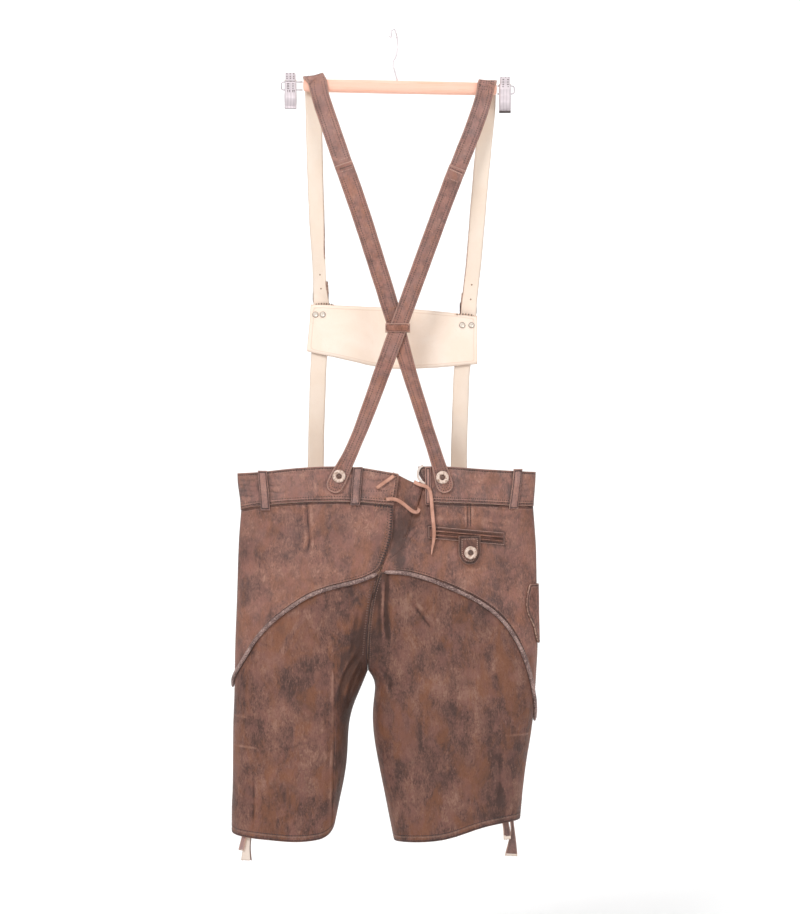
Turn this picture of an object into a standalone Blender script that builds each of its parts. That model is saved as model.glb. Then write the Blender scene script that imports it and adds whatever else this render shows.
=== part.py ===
"""Lederhosen hung by their braces over a wooden clip hanger.

Sizes are in millimetres and become metres when a mesh is made. +Z is up, the garment's back faces -Y
and the wearer's right is +X. The origin is the underside of the hook's crest, where a rail carries it.

The cloth is described by a skin: for each half of the garment a point is found from `turn` (0 at the
centre back or inseam, 0.5 at the side seam, 1 at the centre front or inseam) and a height z. Every
panel is a wall between two distances (lifts) from that skin, so what lies on a panel follows it.
"""
import math

import bmesh
import bpy
from mathutils import Matrix, Vector

MM = 0.001
SEAM_GAP = 0.3          # between pieces that are sewn or rest together
LEATHER = 2.0           # one layer of the body
BAND = 1.0              # how far the doubled waistband stands proud of the body
STRAP = 3.0             # doubled brace leather
REST_GAP = 0.55         # under a strap that rests on the body
BAR_CLEAR = 0.4         # between a strap and the bar it hangs over
THIN_STRAP = 2.5        # single brace leather at the front

# Hanger
BAR_LENGTH, BAR_HEIGHT, BAR_THICK = 291.0, 20.0, 14.0
BAR_CENTRE = (9.0, 0.0, -86.0)
BAR_TILT = math.radians(1.15)
BAR_ROUNDING = 5.0
HOOK_WIRE = 1.4         # radius
HOOK_LOOP = 20.4        # radius of the wire's centre line
HOOK_ACROSS = (0.26, math.sqrt(1 - 0.26 ** 2), 0)       # direction the hook's loop lies along
HOOK_STEM = ((1.8, 6.8, -41), (-2.3, 1.0, -48), (0.8, 0.0, -61))
HOOK_FOOT_X = 5.0
ARM_CORNER = 3.0        # radius of a corner of an arm's outer end
# Columns: side, name, x and z of the clip's middle, x of the arm's outer end
ARMS = ((-1, "left", -155.2, -84.0, -170.0), (1, "right", 166.3, -90.0, 181.5))
ARM_WIRE = 1.1
ARM_HALF_GAP = 6.0      # the two rods of an arm stand this far above and below its middle
CLIP_WIDTH = 16.5
CLIP_PLATE = 1.0
# Inner line of a clip's plate from its top down: distance from the middle, height
CLIP_JAW = ((8.5, 18.5), (ARM_WIRE + SEAM_GAP, 8.6), (ARM_WIRE + SEAM_GAP, -8.6), (6.0, -19.0), (1.2, -29.0))
CLIP_TIP = (2.4, -33.6)

# Heights of the body
CROTCH = -960.0
RISE = 100.0            # height over which the centre seams curve under to the crotch
THIGH_TOP, THIGH_END = -820.0, -1010.0
LEG_SQUARENESS = 0.10
EDGE_SHARE = 0.22       # turn over which the centre seams' own closing gives way to the side's
SIDE_CALM, SEAM_CALM = 0.05, 0.07   # turns beside the side seam and the inseam that take no folds
SLIT_END = -790.0

# Columns: height, x of the centre seam of the trunk
CENTRE = ((-640, 8.5), (-672, 7), (-697, 3.8), (-714, 0), (-735, -0.6), (-754, -1.8), (-775, -7),
          (-811, -20.5), (-855, -33), (-915, -38.5), (-960, -39))
# Columns: height, x of the inseam of each leg
INSEAM = {
    "left": ((-960, -39), (-970, -43), (-985, -49), (-1005, -58), (-1030, -67), (-1055, -69),
             (-1080, -69), (-1125, -75), (-1170, -85), (-1220, -95)),
    "right": ((-960, -39), (-969, -30), (-985, -27), (-1000, -31), (-1042, -32.5), (-1080, -27),
              (-1125, -18), (-1170, -9), (-1220, 1)),
}
# Columns: height, x of the side seam
SIDE = {
    "left": ((-640, -234), (-672, -234), (-715, -229), (-765, -233), (-855, -235.5), (-915, -238),
             (-1005, -239.5), (-1042, -241), (-1125, -241.5), (-1170, -243), (-1220, -243)),
    "right": ((-640, 212), (-672, 211.5), (-715, 208.5), (-765, 213), (-826, 214), (-920, 215.5),
              (-969, 213), (-1017, 210), (-1050, 206), (-1099, 198), (-1150, 192), (-1220, 186)),
}
# Columns: height, depth of the back, depth of the front, both from the side seam's plane
DEPTH = ((-640, 42, 38), (-712, 48, 42), (-811, 58, 48), (-915, 66, 54), (-1005, 66, 58),
         (-1110, 64, 58), (-1220, 60, 56))
# Columns: x, top edge, seam under it, of the waistband at the back and at the front
WAIST = {
    "back": ((-240, -665, -720), (-202, -663, -713), (-147, -657, -708), (-91, -654, -706),
             (-52, -655.5, -706.5), (8, -665.2, -711), (49, -654.5, -706.5), (78, -654, -707.5),
             (129, -658, -709.5), (178, -661, -712.5), (218, -663, -714)),
    "front": ((-240, -665, -720), (-120, -677, -722), (-10, -681, -724), (100, -677, -721),
              (218, -663, -714)),
}
# Columns: turn, height of the hem, at the left and the right leg
HEM = {
    "left": ((0, -1186), (0.045, -1191.5), (0.068, -1197.5), (0.1, -1204.5), (0.196, -1207.4),
             (0.275, -1204.5), (0.39, -1200.4), (0.5, -1198.5), (0.75, -1197), (1, -1186)),
    "right": ((0, -1213), (0.08, -1211), (0.177, -1207.5), (0.223, -1203.5), (0.267, -1195.5),
              (0.3, -1188), (0.345, -1181.5), (0.42, -1179.5), (0.5, -1180), (0.75, -1194), (1, -1213)),
}
# Columns: x, height, of the yoke seam from the centre seam outwards; it ends on the side seam
YOKE_SEAM = {
    "left": ((-51, -824), (-81, -830), (-119, -842), (-150, -861), (-183, -887), (-205, -912),
             (-225, -947)),
    "right": ((18, -810), (50, -820), (85, -834), (127, -855), (156, -877), (176, -903),
              (188, -926), (200, -960), (206, -993)),
}
YOKE_SEAM_START = -810.0
YOKE_SEAM_END = {"left": -985.0, "right": -1036.0}
# Columns: height, x of the right edge of the back slit
SLIT_EDGE = ((-640, 49.5), (-712, 49), (-735, 39), (-755, 26), (-775, 9), (-790, -11.6), (-811, -20.3))

# Left edge of the right waistband at the back, which flares at its top. Columns: height, x
BAND_EDGE = ((-640, 37), (-655, 35.5), (-664, 34.5), (-672, 38), (-679, 45.5), (-684, 49), (-712, 49))

# Folds of the leather, as soft ridges (+) and troughs (-) along a line.
# Columns: face, start x, start z, end x, end z, half-width, height
FOLDS = (
    ("back", -91, -960, -91, -1190, 13, 4.0),
    ("back", -76, -985, -82, -1150, 12, -6.0),
    ("back", -52, -900, -98, -985, 15, -4.5),
    ("back", -10, -925, 12, -1010, 15, -4.0),
    ("back", 44, -1000, 28, -1180, 22, -4.0),
    ("back", 92, -1050, 76, -1190, 22, 3.5),
    ("back", 152, -1060, 160, -1165, 18, -5.0),
    ("back", -205, -1110, -206, -1185, 16, -4.0),
    ("back", 24, -745, -10, -790, 14, -8.0),
    ("back", 46, -765, 42, -800, 13, -4.5),
    ("back", -10, -822, -17, -900, 12, -3.0),
    ("back", -128, -878, -70, -905, 20, 3.0),
    ("back", 70, -900, 118, -935, 22, 3.0),
    ("front", -62, -900, -112, -990, 16, -4.5),
    ("front", -12, -905, 42, -985, 16, -4.5),
    ("front", -150, -1040, -160, -1185, 20, -4.5),
    ("front", 104, -1030, 98, -1180, 20, -4.0),
    ("front", 44, -1060, 56, -1190, 18, 3.5),
    ("front", -205, -1000, -190, -1120, 18, 3.0),
)

# Gusset folded inside the back slit.
# Columns: height, x of its fold, how deep its hidden fold lies
GUSSET = ((-668, 46, 25), (-690, 43, 25), (-708, 36, 24), (-722, 32, 22), (-745, 25, 16), (-770, 12, 9),
          (-782, 2, 6))
GUSSET_TOP = (-662.5, -682.0, -679.0, -670.0)   # along its section: edge, fold, hidden fold, far edge
GUSSET_WALL = 1.6
PIPING_RADIUS = 1.9
GUSSET_SUNK = 1.7       # below the inner face of the panels beside it
GUSSET_FULL = -720.0    # height from which it has its full width
# How far it reaches under its neighbours and turns back, at the slit's end and where it is full
GUSSET_TUCK_LEFT, GUSSET_TUCK_RIGHT, GUSSET_TURN_BACK = (2.0, 9.0), (2.0, 7.0), (3.0, 13.0)

# Belt loops. Columns: name, face, x at the top, x at the bottom, width
LOOP_WALL = 1.7
LOOPS = (
    ("belt_loop_back_1", "back", -195, -190, 13.5),
    ("belt_loop_back_2", "back", -53, -57, 14),
    ("belt_loop_back_3", "back", 50.2, 50.6, 8.4),
    ("belt_loop_back_4", "back", 184, 177, 13),
    ("belt_loop_front_left", "front", -168, -168, 13),
    ("belt_loop_front_right", "front", 148, 148, 13),
)
LOOP_TOP_DROP, LOOP_BELOW_SEAM = 2.0, 4.0

# Welt pocket of the right back
WELT_X = (51.0, 163.0)
WELT_Z = (-747.0, -757.5)       # middle of the mouth at the inner and the outer end
WELT_HEIGHT = 15.0
WELT_LIP, WELT_RIM, WELT_MOUTH = 2.4, 1.6, 0.9     # lifts of its lips, its outer edge and its mouth
TAB_WALL, TAB_STRAIGHT = 2.0, 0.55      # the tab's thickness and the share of it that isn't round
TAB_X, TAB_Z = (95.0, 127.0), (-757.0, -799.0)
POCKET_BUTTON = (112.5, -782.0)

# Knife pocket over the right side seam. Columns: height, turn of the back edge, turn of the front edge
KNIFE_POCKET_LIFTS = (0.9, 3.2)
KNIFE_POCKET = ((-830, 0.395, 0.60), (-838, 0.385, 0.61), (-868, 0.375, 0.61), (-884, 0.41, 0.60),
                (-905, 0.43, 0.585), (-918, 0.455, 0.56))

# Front flap: half-width at the top and the bottom, heights, corner radius
FLAP_MIDDLE, FLAP_TOP_HALF, FLAP_BOTTOM_HALF = -10.0, 90.0, 76.0
FLAP_TOP, FLAP_BOTTOM, FLAP_CORNER = -702.0, -884.0, 26.0
FLAP_BUTTON_Z, FLAP_BUTTON_INSET = -716.0, 14.0
WAIST_BUTTON_Z, WAIST_BUTTON_DIAMETER = -691.0, 15.0

BUTTON_DIAMETER = 19.0
BUTTON_HEIGHT = 4.2
RIVET_DIAMETER = 9.0

# Braces
CROSSING = (5.6, -449.0)
BACK_BUTTON = {"a": (71.5, -671.0), "b": (-80.5, -669.2)}
STRAP_END_Z = -694.0
# Columns: height, x, y of the middle, width; strap a starts at the left end of the bar
BACK_STRAP = {
    "a": ((-203, -75.5, -17.4, 28), (-227, -67, -18.8, 28), (-272, -51.3, -22.4, 28),
          (-328, -33.4, -26.2, 27), (-385, -15.5, -28.2, 26.5), (-450, 4.3, -29.5, 25.5),
          (-480, 12.6, -30.2, 24), (-519, 23.8, -33.5, 22), (-563, 37.9, -37.0, 21), (-608, 51.9, -41.0, 20),
          (-632, 59.8, -43.2, 20)),
    "b": ((-209, 94.7, -17.4, 26), (-230, 86.8, -19.0, 26), (-272, 70.9, -23.0, 25.5),
          (-328, 50.6, -27.8, 25.5), (-385, 29.8, -31.3, 25.5), (-450, 6.1, -33.4, 25.3),
          (-480, -5.0, -34.4, 25), (-519, -19.2, -35.6, 24), (-563, -35.1, -38.6, 22.5),
          (-608, -52.3, -41.5, 20.5), (-632, -62.4, -43.2, 20.5)),
}
# Where a back strap widens into its round end. Columns: height, width
STRAP_END_WIDTH = {"a": ((-632, 20), (-654, 21), (-669, 24.5), (-681, 26)),
                   "b": ((-632, 20), (-654, 23), (-669, 26), (-681, 26))}
# The shoulder strap below its lap and up to the bar. Columns: height, x, y of the middle, width
SHOULDER_BACK = {
    "a": ((-228, -67.2, -15.3, 28), (-190, -80.2, -13.4, 28), (-140, -97.2, -10.9, 27),
          (-100, -110.8, -9.3, 27)),
    "b": ((-234, 85.3, -15.3, 26), (-205, 96.8, -14.0, 26), (-159, 115.5, -11.8, 26),
          (-130, 126.0, -10.4, 26), (-100, 135.6, -9.3, 26)),
}
SHOULDER_TOP_X = {"a": -121.5, "b": 140.8}
SHOULDER_TILT = {"a": math.radians(6.0), "b": math.radians(-1.5)}
# The shoulder strap in front of the bar, down to behind the breast bar.
# Columns: height, x, width, degrees it is twisted towards +X
SHOULDER_FRONT = {
    "a": ((-112, -121, 24.5, 0), (-180, -119.5, 24, 0), (-270, -117, 23.5, 12), (-335, -114.3, 23.5, 36),
          (-368, -112.8, 23.5, 38), (-392, -111.5, 23.5, 26), (-408, -110, 23.5, 2),
          (-440, -108.5, 23.5, 0)),
    "b": ((-118, 140.5, 24.5, 0), (-180, 134.3, 24, 0), (-270, 126.5, 23.5, -6), (-345, 120.5, 23.5, -20),
          (-385, 116, 23.5, -20), (-408, 113.5, 23.5, -15), (-428, 112.5, 23.5, -1), (-452, 110.5, 23.5, 0)),
}
# The chest strap from the breast bar down to the waist. Columns: height, x, width
CHEST = {
    "a": ((-415, -110, 24), (-450, -111, 24), (-490, -113.5, 24), (-560, -116.5, 24),
          (-630, -118.5, 24), (-668, -119, 24.5)),
    "b": ((-433, 112, 24), (-470, 108.5, 24), (-510, 102.5, 24), (-560, 100.5, 24),
          (-630, 98.5, 24), (-668, 98, 24.5)),
}
CHEST_BUTTON_Z, CHEST_END_Z = -696.0, -716.0
# Height, y of the braces in front of the bar
FRONT_FALL = ((-60, 9.2), (-110, 9.6), (-395, 27.2), (-450, 28.4), (-630, 38.0), (-640, 39.0))

# Breast bar. Columns: x, top edge, bottom edge
BREAST_BAR = ((-125.5, -410, -481), (-122, -410, -482.5), (-80, -412, -492), (-20, -415, -505),
              (10, -416.5, -508), (55, -419.5, -506), (122, -427, -500.5), (125.5, -427.5, -500))
BREAST_BAR_WALL = 2.5
BREAST_BAR_Y, BREAST_BAR_BOW = 20.0, 3.0
RIVETS = {"a": (-118.5, -107.5), "b": (103.0, 117.0)}
RIVET_Z = {"a": -425.5, "b": -441.5}

KEEPER_HEIGHT, KEEPER_WALL, KEEPER_HALF = 13.0, 1.4, 17.0
BUCKLE_WIDTH, BUCKLE_HEIGHT, BUCKLE_WIRE = 27.5, 23.0, 1.5
BUCKLE_Z = {"a": -394.0, "b": -412.0}

# Lacing thong. Routes as x, z and lift above the body
THONG_WIDTH, THONG_THICK = 5.6, 1.8
TIE_THICK = 1.6
STITCH_ROUTE = ((-25.5, -687, 2.6), (-21, -683.3, 2.6), (-12, -677, 2.7), (-3.5, -671, 2.7),
                (0, -668.4, 2.5))
SLACK_ROUTE = ((-11.2, -703.5, 2.5), (-4, -702.5, 3.3), (3.5, -703.6, 4.2), (10, -707, 5.0),
               (17, -712.5, 5.5), (24, -718.5, 5.2), (29.5, -722, 4.0), (34, -722.3, 1.5),
               (37, -719, -3.5), (37.8, -714.5, -8.5))
END_ROUTE = ((29.5, -677, -2.4), (35.5, -680, -2.4), (40.5, -682, -1.4), (43.4, -683, 3.0),
             (46.2, -683.8, 6.1), (51, -686.5, 6.0), (53.3, -692, 5.4), (54.6, -700, 4.9), (55.6, -712, 4.8),
             (56.8, -728, 4.4), (58.2, -742, 5.0), (58.9, -753, 5.0), (58.6, -764, 4.2),
             (57.2, -775, 3.2), (56, -785, 2.6))

# Short ties at the hems, two at each leg.
# Columns: name, how far inside the leather, then stations of x, height, width, degrees off facing back
HEM_TIES = (
    ("hem_tie_left_short", 4.0, ((-220, -1182, 6, -38), (-220.5, -1198, 7, -34), (-223, -1210, 8, -24),
                                 (-225.5, -1221.5, 8.5, -16))),
    ("hem_tie_left_long", 8.0, ((-211, -1182, 7, -26), (-214, -1200, 7.5, -20), (-217.5, -1218, 11, -12),
                                (-217.8, -1236.5, 16, -6))),
    ("hem_tie_right_short", 4.4, ((160, -1162, 9, 34), (165, -1181, 10, 28), (167, -1193, 10.5, 16),
                                  (167.5, -1205.5, 11, 10))),
    ("hem_tie_right_long", 6.9, ((172.5, -1162, 5, 30), (175, -1183, 5.5, 26), (176.4, -1195, 5.5, 16),
                                 (175.8, -1206, 10, 10), (173.8, -1231.5, 19, 6))),
)

SEAT_COLUMNS = 14
FRONT_STEPS = 20        # of a shoulder strap in front of the bar
HALVINGS = 26           # when a turn is searched for
PIECES_A_SPAN = 12      # of the fine line that evenly spaced points are taken from
FINE_STEP = 0.5         # for normals, in millimetres or thousandths of a turn


# ---------------------------------------------------------------- tables and the skin

def read_table(rows, at, column):
    """Smooth value of a column of a table at a key, without overshoot between its rows."""
    rows = sorted(rows)
    keys = [row[0] for row in rows]
    values = [row[column] for row in rows]
    if at <= keys[0]:
        return float(values[0])
    if at >= keys[-1]:
        return float(values[-1])
    i = max(k for k in range(len(keys) - 1) if keys[k] <= at)
    slopes = [(values[k + 1] - values[k]) / (keys[k + 1] - keys[k]) for k in range(len(keys) - 1)]

    def tangent(k):
        if k == 0:
            return slopes[0]
        if k == len(keys) - 1:
            return slopes[-1]
        before, after = slopes[k - 1], slopes[k]
        if before * after <= 0.0:
            return 0.0
        return 2.0 * before * after / (before + after)

    span = keys[i + 1] - keys[i]
    f = (at - keys[i]) / span
    return ((1 + 2 * f) * (1 - f) ** 2 * values[i] + f * (1 - f) ** 2 * span * tangent(i)
            + f * f * (3 - 2 * f) * values[i + 1] + f * f * (f - 1) * span * tangent(i + 1))


def smooth_step(low, high, value):
    f = min(max((value - low) / (high - low), 0.0), 1.0)
    return f * f * (3.0 - 2.0 * f)


def blend(a, b, f):
    return a + (b - a) * f


def centre_x(z):
    return read_table(CENTRE, max(z, CROTCH), 1)


def inner_x(half, z):
    side_of_seam = SEAM_GAP / 2 if half == "right" else -SEAM_GAP / 2
    if z >= CROTCH:
        return centre_x(z) + side_of_seam
    return read_table(INSEAM[half], z, 1) + side_of_seam


def leg_share(turn, z):
    """0 where a half is one side of the trunk, 1 where it has closed into a leg."""
    from_edge = abs(min(turn, 1.0 - turn))
    fall = min(max((CROTCH + RISE - z) / RISE, 0.0), 1.0)
    at_edge = 1.0 - math.sqrt(1.0 - fall * fall)
    at_side = smooth_step(THIGH_TOP, THIGH_END, z)
    return blend(at_edge, at_side, smooth_step(0.0, EDGE_SHARE, from_edge))


def plain_point(half, turn, z):
    inner, side = inner_x(half, z), read_table(SIDE[half], z, 1)
    depth = read_table(DEPTH, z, 1 if turn < 0.5 else 2)
    angle = math.pi * turn
    trunk = Vector((inner + (side - inner) * math.sin(angle), -depth * math.cos(angle)))
    bulge = 1.0 + LEG_SQUARENESS * math.sin(4.0 * angle) ** 2
    leg = Vector(((inner + side) / 2 + (inner - side) / 2 * bulge * math.cos(2.0 * angle),
                  -depth * bulge * math.sin(2.0 * angle)))
    flat = trunk.lerp(leg, leg_share(turn, z))
    return Vector((flat.x, flat.y, z))


def outward(half, surface, turn, z):
    """Unit normal of a surface given as a function of turn and height."""
    step = FINE_STEP / 1000.0
    around = surface(half, turn + step, z) - surface(half, turn - step, z)
    along = surface(half, turn, z + FINE_STEP) - surface(half, turn, z - FINE_STEP)
    normal = around.cross(along)
    if half == "left":
        normal.negate()
    return normal.normalized()


def relief(turn, x, z):
    face = "back" if turn < 0.5 else "front"
    total = 0.0
    for row_face, x0, z0, x1, z1, width, height in FOLDS:
        if row_face != face:
            continue
        line = Vector((x1 - x0, z1 - z0))
        from_start = Vector((x - x0, z - z0))
        along = from_start.dot(line) / line.length_squared
        nearest = min(max(along, 0.0), 1.0)
        away = (from_start - line * nearest).length
        ends = smooth_step(-0.25, 0.2, along) * (1.0 - smooth_step(0.8, 1.25, along))
        total += height * ends * math.exp(-(away / width) ** 2)
    from_edge = abs(min(turn, 1.0 - turn))
    split = leg_share(0.0, z)
    at_side = smooth_step(0.0, SIDE_CALM, abs(turn - 0.5))
    return total * at_side * (1.0 - split * (1.0 - smooth_step(0.0, SEAM_CALM, from_edge)))


def skin_point(half, turn, z):
    point = plain_point(half, turn, z)
    height = relief(turn, point.x, z)
    if abs(height) < 0.01:
        return point
    return point + outward(half, plain_point, turn, z) * height


def skin(half, turn, z, lift=0.0):
    """Point of the garment's outer face, moved out by lift."""
    point = skin_point(half, turn, z)
    if lift == 0.0:
        return point
    return point + outward(half, skin_point, turn, z) * lift


def turn_at(half, x, z, face="back"):
    """Turn of the skin's point at x and z, on the back or on the front."""
    edge, side = (0.0, 0.5) if face == "back" else (1.0, 0.5)
    direction = -1.0 if half == "left" else 1.0
    for _ in range(HALVINGS):
        middle = (edge + side) / 2
        if (x - plain_point(half, middle, z).x) * direction > 0.0:
            edge = middle
        else:
            side = middle
    return (edge + side) / 2


def half_at(x, z):
    return "left" if x < centre_x(z) else "right"


def on_face(x, z, lift, face="back"):
    half = half_at(x, z)
    return skin(half, turn_at(half, x, z, face), z, lift)


def face_normal(x, z, face="back"):
    half = half_at(x, z)
    return outward(half, skin_point, turn_at(half, x, z, face), z)


# ---------------------------------------------------------------- making meshes

def material(name, colour, roughness, metallic=0.0):
    made = bpy.data.materials.new(name)
    made.use_nodes = True
    shader = made.node_tree.nodes["Principled BSDF"]
    shader.inputs["Base Color"].default_value = (*colour, 1.0)
    shader.inputs["Roughness"].default_value = roughness
    shader.inputs["Metallic"].default_value = metallic
    return made


def add_object(name, mesh, finish):
    for face in mesh.polygons:
        face.use_smooth = True
    mesh.set_sharp_from_angle(angle=math.radians(40))
    made = bpy.data.objects.new(name, mesh)
    made.data.materials.append(finish)
    parts.objects.link(made)
    return made


def mesh_from(bm, name):
    bmesh.ops.recalc_face_normals(bm, faces=bm.faces)
    mesh = bpy.data.meshes.new(name)
    bm.to_mesh(mesh)
    bm.free()
    return mesh


def loft(name, rings, finish):
    """Closed body through rings of points that have the same count, with flat ends."""
    bm = bmesh.new()
    rows = [[bm.verts.new(point * MM) for point in ring] for ring in rings]
    count = len(rows[0])
    for lower, upper in zip(rows, rows[1:]):
        for i in range(count):
            j = (i + 1) % count
            bm.faces.new((lower[i], lower[j], upper[j], upper[i]))
    bm.faces.new(rows[0])
    bm.faces.new(rows[-1])
    return add_object(name, mesh_from(bm, name), finish)


def run_length(point_at, count=6):
    """Length of a line of points given by the share along it."""
    points = [point_at(k / count) for k in range(count + 1)]
    return max(sum((b - a).length for a, b in zip(points, points[1:])), 1.0)


def wall(name, surface, columns, rows, inner, outer, finish, gap=SEAM_GAP / 2):
    """Wall between two lifts over a patch; rows and columns are counts or lists of shares.

    The patch is trimmed by gap at all four edges. outer may be a function of the shares.
    """
    s_list = [i / columns for i in range(columns + 1)] if isinstance(columns, int) else list(columns)
    t_list = [j / rows for j in range(rows + 1)] if isinstance(rows, int) else list(rows)
    s_trim = [gap / run_length(lambda f: surface(f, t, 0.0)) for t in t_list]
    t_trim = [gap / run_length(lambda f: surface(s, f, 0.0)) for s in s_list]
    bm = bmesh.new()

    def grid(lift):
        rows_made = []
        for j, t in enumerate(t_list):
            row = []
            for i, s in enumerate(s_list):
                height = lift(s, t) if callable(lift) else lift
                point = surface(blend(s_trim[j], 1 - s_trim[j], s), blend(t_trim[i], 1 - t_trim[i], t),
                                height)
                row.append(bm.verts.new(point * MM))
            rows_made.append(row)
        return rows_made

    near, far = grid(inner), grid(outer)
    for layer in (near, far):
        for low, high in zip(layer, layer[1:]):
            for i in range(len(low) - 1):
                bm.faces.new((low[i], low[i + 1], high[i + 1], high[i]))

    def border(layer):
        return (layer[0] + [row[-1] for row in layer[1:]] + layer[-1][-2::-1]
                + [row[0] for row in layer[-2:0:-1]])

    near_edge, far_edge = border(near), border(far)
    for i in range(len(near_edge)):
        j = (i + 1) % len(near_edge)
        bm.faces.new((near_edge[i], near_edge[j], far_edge[j], far_edge[i]))
    return add_object(name, mesh_from(bm, name), finish)


def patch_between(half, top, bottom):
    """Patch of the skin between two curves that give (turn, height) for a share along them."""
    def surface(s, t, lift):
        a, b = top(s), bottom(s)
        return skin(half, blend(a[0], b[0], t), blend(a[1], b[1], t), lift)
    return surface


def shares(values):
    first, last = values[0], values[-1]
    return [(value - first) / (last - first) for value in values]


def band(name, stations, thick, finish):
    """Flat strap through stations of (middle, outward direction, width)."""
    rings = []
    for k, (middle, out, width) in enumerate(stations):
        ahead = stations[min(k + 1, len(stations) - 1)][0]
        behind = stations[max(k - 1, 0)][0]
        along = (ahead - behind).normalized()
        across = along.cross(out).normalized()
        normal = across.cross(along).normalized()
        side, depth = across * width / 2, normal * thick / 2
        rings.append([middle - side - depth, middle + side - depth, middle + side + depth,
                      middle - side + depth])
    return loft(name, rings, finish)


def round_end(stations, radius):
    """Stations with the last one drawn on into a round end of the strap."""
    middle, out, width = stations[-1]
    along = (middle - stations[-2][0]).normalized()
    steps = (20, 40, 58, 74)
    return stations + [(middle + along * radius * math.sin(math.radians(a)), out,
                        width * math.cos(math.radians(a))) for a in steps]


def wire(name, points, radius, finish, resolution=2, radii=None):
    curve = bpy.data.curves.new(name, "CURVE")
    curve.dimensions = "3D"
    curve.bevel_depth = radius * MM
    curve.bevel_resolution = resolution
    curve.use_fill_caps = True
    spline = curve.splines.new("POLY")
    spline.points.add(len(points) - 1)
    for k, point in enumerate(points):
        spline.points[k].co = (*(Vector(point) * MM), 1.0)
        spline.points[k].radius = radii[k] if radii else 1.0
    made = bpy.data.objects.new(name, curve)
    made.data.materials.append(finish)
    parts.objects.link(made)
    return made


def through(points, count):
    """Evenly spaced points on a smooth curve through the given ones."""
    points = [Vector(point) for point in points]
    padded = [points[0] * 2 - points[1]] + points + [points[-1] * 2 - points[-2]]
    fine = []
    for a, b, c, d in zip(padded, padded[1:], padded[2:], padded[3:]):
        for k in range(PIECES_A_SPAN):
            f = k / PIECES_A_SPAN
            fine.append(0.5 * (2 * b + (c - a) * f + (2 * a - 5 * b + 4 * c - d) * f * f
                               + (3 * b - a - 3 * c + d) * f ** 3))
    fine.append(points[-1])
    run = [0.0]
    for a, b in zip(fine, fine[1:]):
        run.append(run[-1] + (b - a).length)
    made = []
    for k in range(count):
        at = run[-1] * k / (count - 1)
        i = min(max(sum(1 for r in run if r <= at) - 1, 0), len(fine) - 2)
        f = (at - run[i]) / max(run[i + 1] - run[i], 1e-9)
        made.append(fine[i].lerp(fine[i + 1], min(f, 1.0)))
    return made


def turned(name, profile, place, finish, steps=16):
    """Body turned round its own Z from a profile of (radius, height), from the top down."""
    mesh = bpy.data.meshes.new(name)
    mesh.from_pydata([(r * MM, 0.0, h * MM) for r, h in profile], [(i, i + 1) for i in
                                                                 range(len(profile) - 1)], [])
    made = bpy.data.objects.new(name, mesh)
    made.data.materials.append(finish)
    made.matrix_world = place
    parts.objects.link(made)
    screw = made.modifiers.new("turn", "SCREW")
    screw.steps = screw.render_steps = steps
    screw.use_merge_vertices = True
    screw.merge_threshold = 0.00002
    return made


def facing(point, normal):
    """Matrix that puts a body's own +Z along a normal at a point given in millimetres."""
    return Matrix.Translation(point * MM) @ normal.to_track_quat("Z", "Y").to_matrix().to_4x4()


def button(name, point, normal, finish, diameter=BUTTON_DIAMETER):
    r, h = diameter / 2, BUTTON_HEIGHT
    profile = ((0, h * 0.62), (r * 0.46, h * 0.62), (r * 0.62, h), (r * 0.86, h * 0.95), (r, h * 0.5),
               (r * 0.8, 0), (0, 0))
    return turned(name, profile, facing(point, normal), finish)


# ---------------------------------------------------------------- body of the garment

def waist_edge(half, face, column, start, end):
    """Waistband edge (column 1) or the seam under it (column 2), as (turn, height) by share."""
    def curve(share):
        turn = blend(start, end, share)
        x = plain_point(half, turn, -690.0).x
        return turn, read_table(WAIST[face], x, column)
    return curve


def yoke_seam(half):
    rows = [(0.0, YOKE_SEAM_START)]
    rows += [(turn_at(half, x, z), z) for x, z in YOKE_SEAM[half]]
    rows += [(0.5, YOKE_SEAM_END[half])]
    run = [0.0]
    for a, b in zip(rows, rows[1:]):
        run.append(run[-1] + math.hypot((b[0] - a[0]) * 560.0, b[1] - a[1]))
    keyed = [(r / run[-1], turn, z) for r, (turn, z) in zip(run, rows)]
    return lambda share: (read_table(keyed, share, 1), read_table(keyed, share, 2))


def hem_edge(half, start, end):
    def curve(share):
        turn = blend(start, end, share)
        return turn, read_table(HEM[half], turn, 1)
    return curve


def leg_rows(top):
    """Heights of the rows down a panel, close together where the crotch curves under."""
    above = [z for z in (-745.0, -780.0, -812.0, -838.0) if z < top - 12.0]
    curved = [CROTCH + RISE - RISE * math.sin(math.radians(a)) for a in range(0, 91, 15)]
    return [top] + above + curved + [-975, -992, -1012, -1038, -1068, -1100, -1132, -1160, -1183]


def body_panels():
    for half in ("left", "right"):
        seam = yoke_seam(half)
        if half == "left":
            yoke_top = waist_edge(half, "back", 2, 0.0, 0.5)
            yoke = patch_between(half, yoke_top, seam)
        else:
            yoke = right_yoke(seam)
        wall(f"back_yoke_{half}", yoke, SEAT_COLUMNS, 6, -LEATHER, 0.0, LEATHER_OUT)

        hem = hem_edge(half, 0.0, 0.5)
        rows = [z for z in leg_rows(YOKE_SEAM_START) if z <= YOKE_SEAM_START] + [hem(0.0)[1]]
        wall(f"back_leg_{half}", patch_between(half, seam, hem), SEAT_COLUMNS, shares(rows), -LEATHER,
             0.0, LEATHER_OUT)

        front_top = waist_edge(half, "front", 2, 0.5, 1.0)
        front_hem = hem_edge(half, 0.5, 1.0)
        rows = leg_rows(front_top(1.0)[1]) + [front_hem(1.0)[1]]
        wall(f"front_{half}", patch_between(half, front_top, front_hem), SEAT_COLUMNS, shares(rows),
             -LEATHER, 0.0, LEATHER_OUT)


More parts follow.
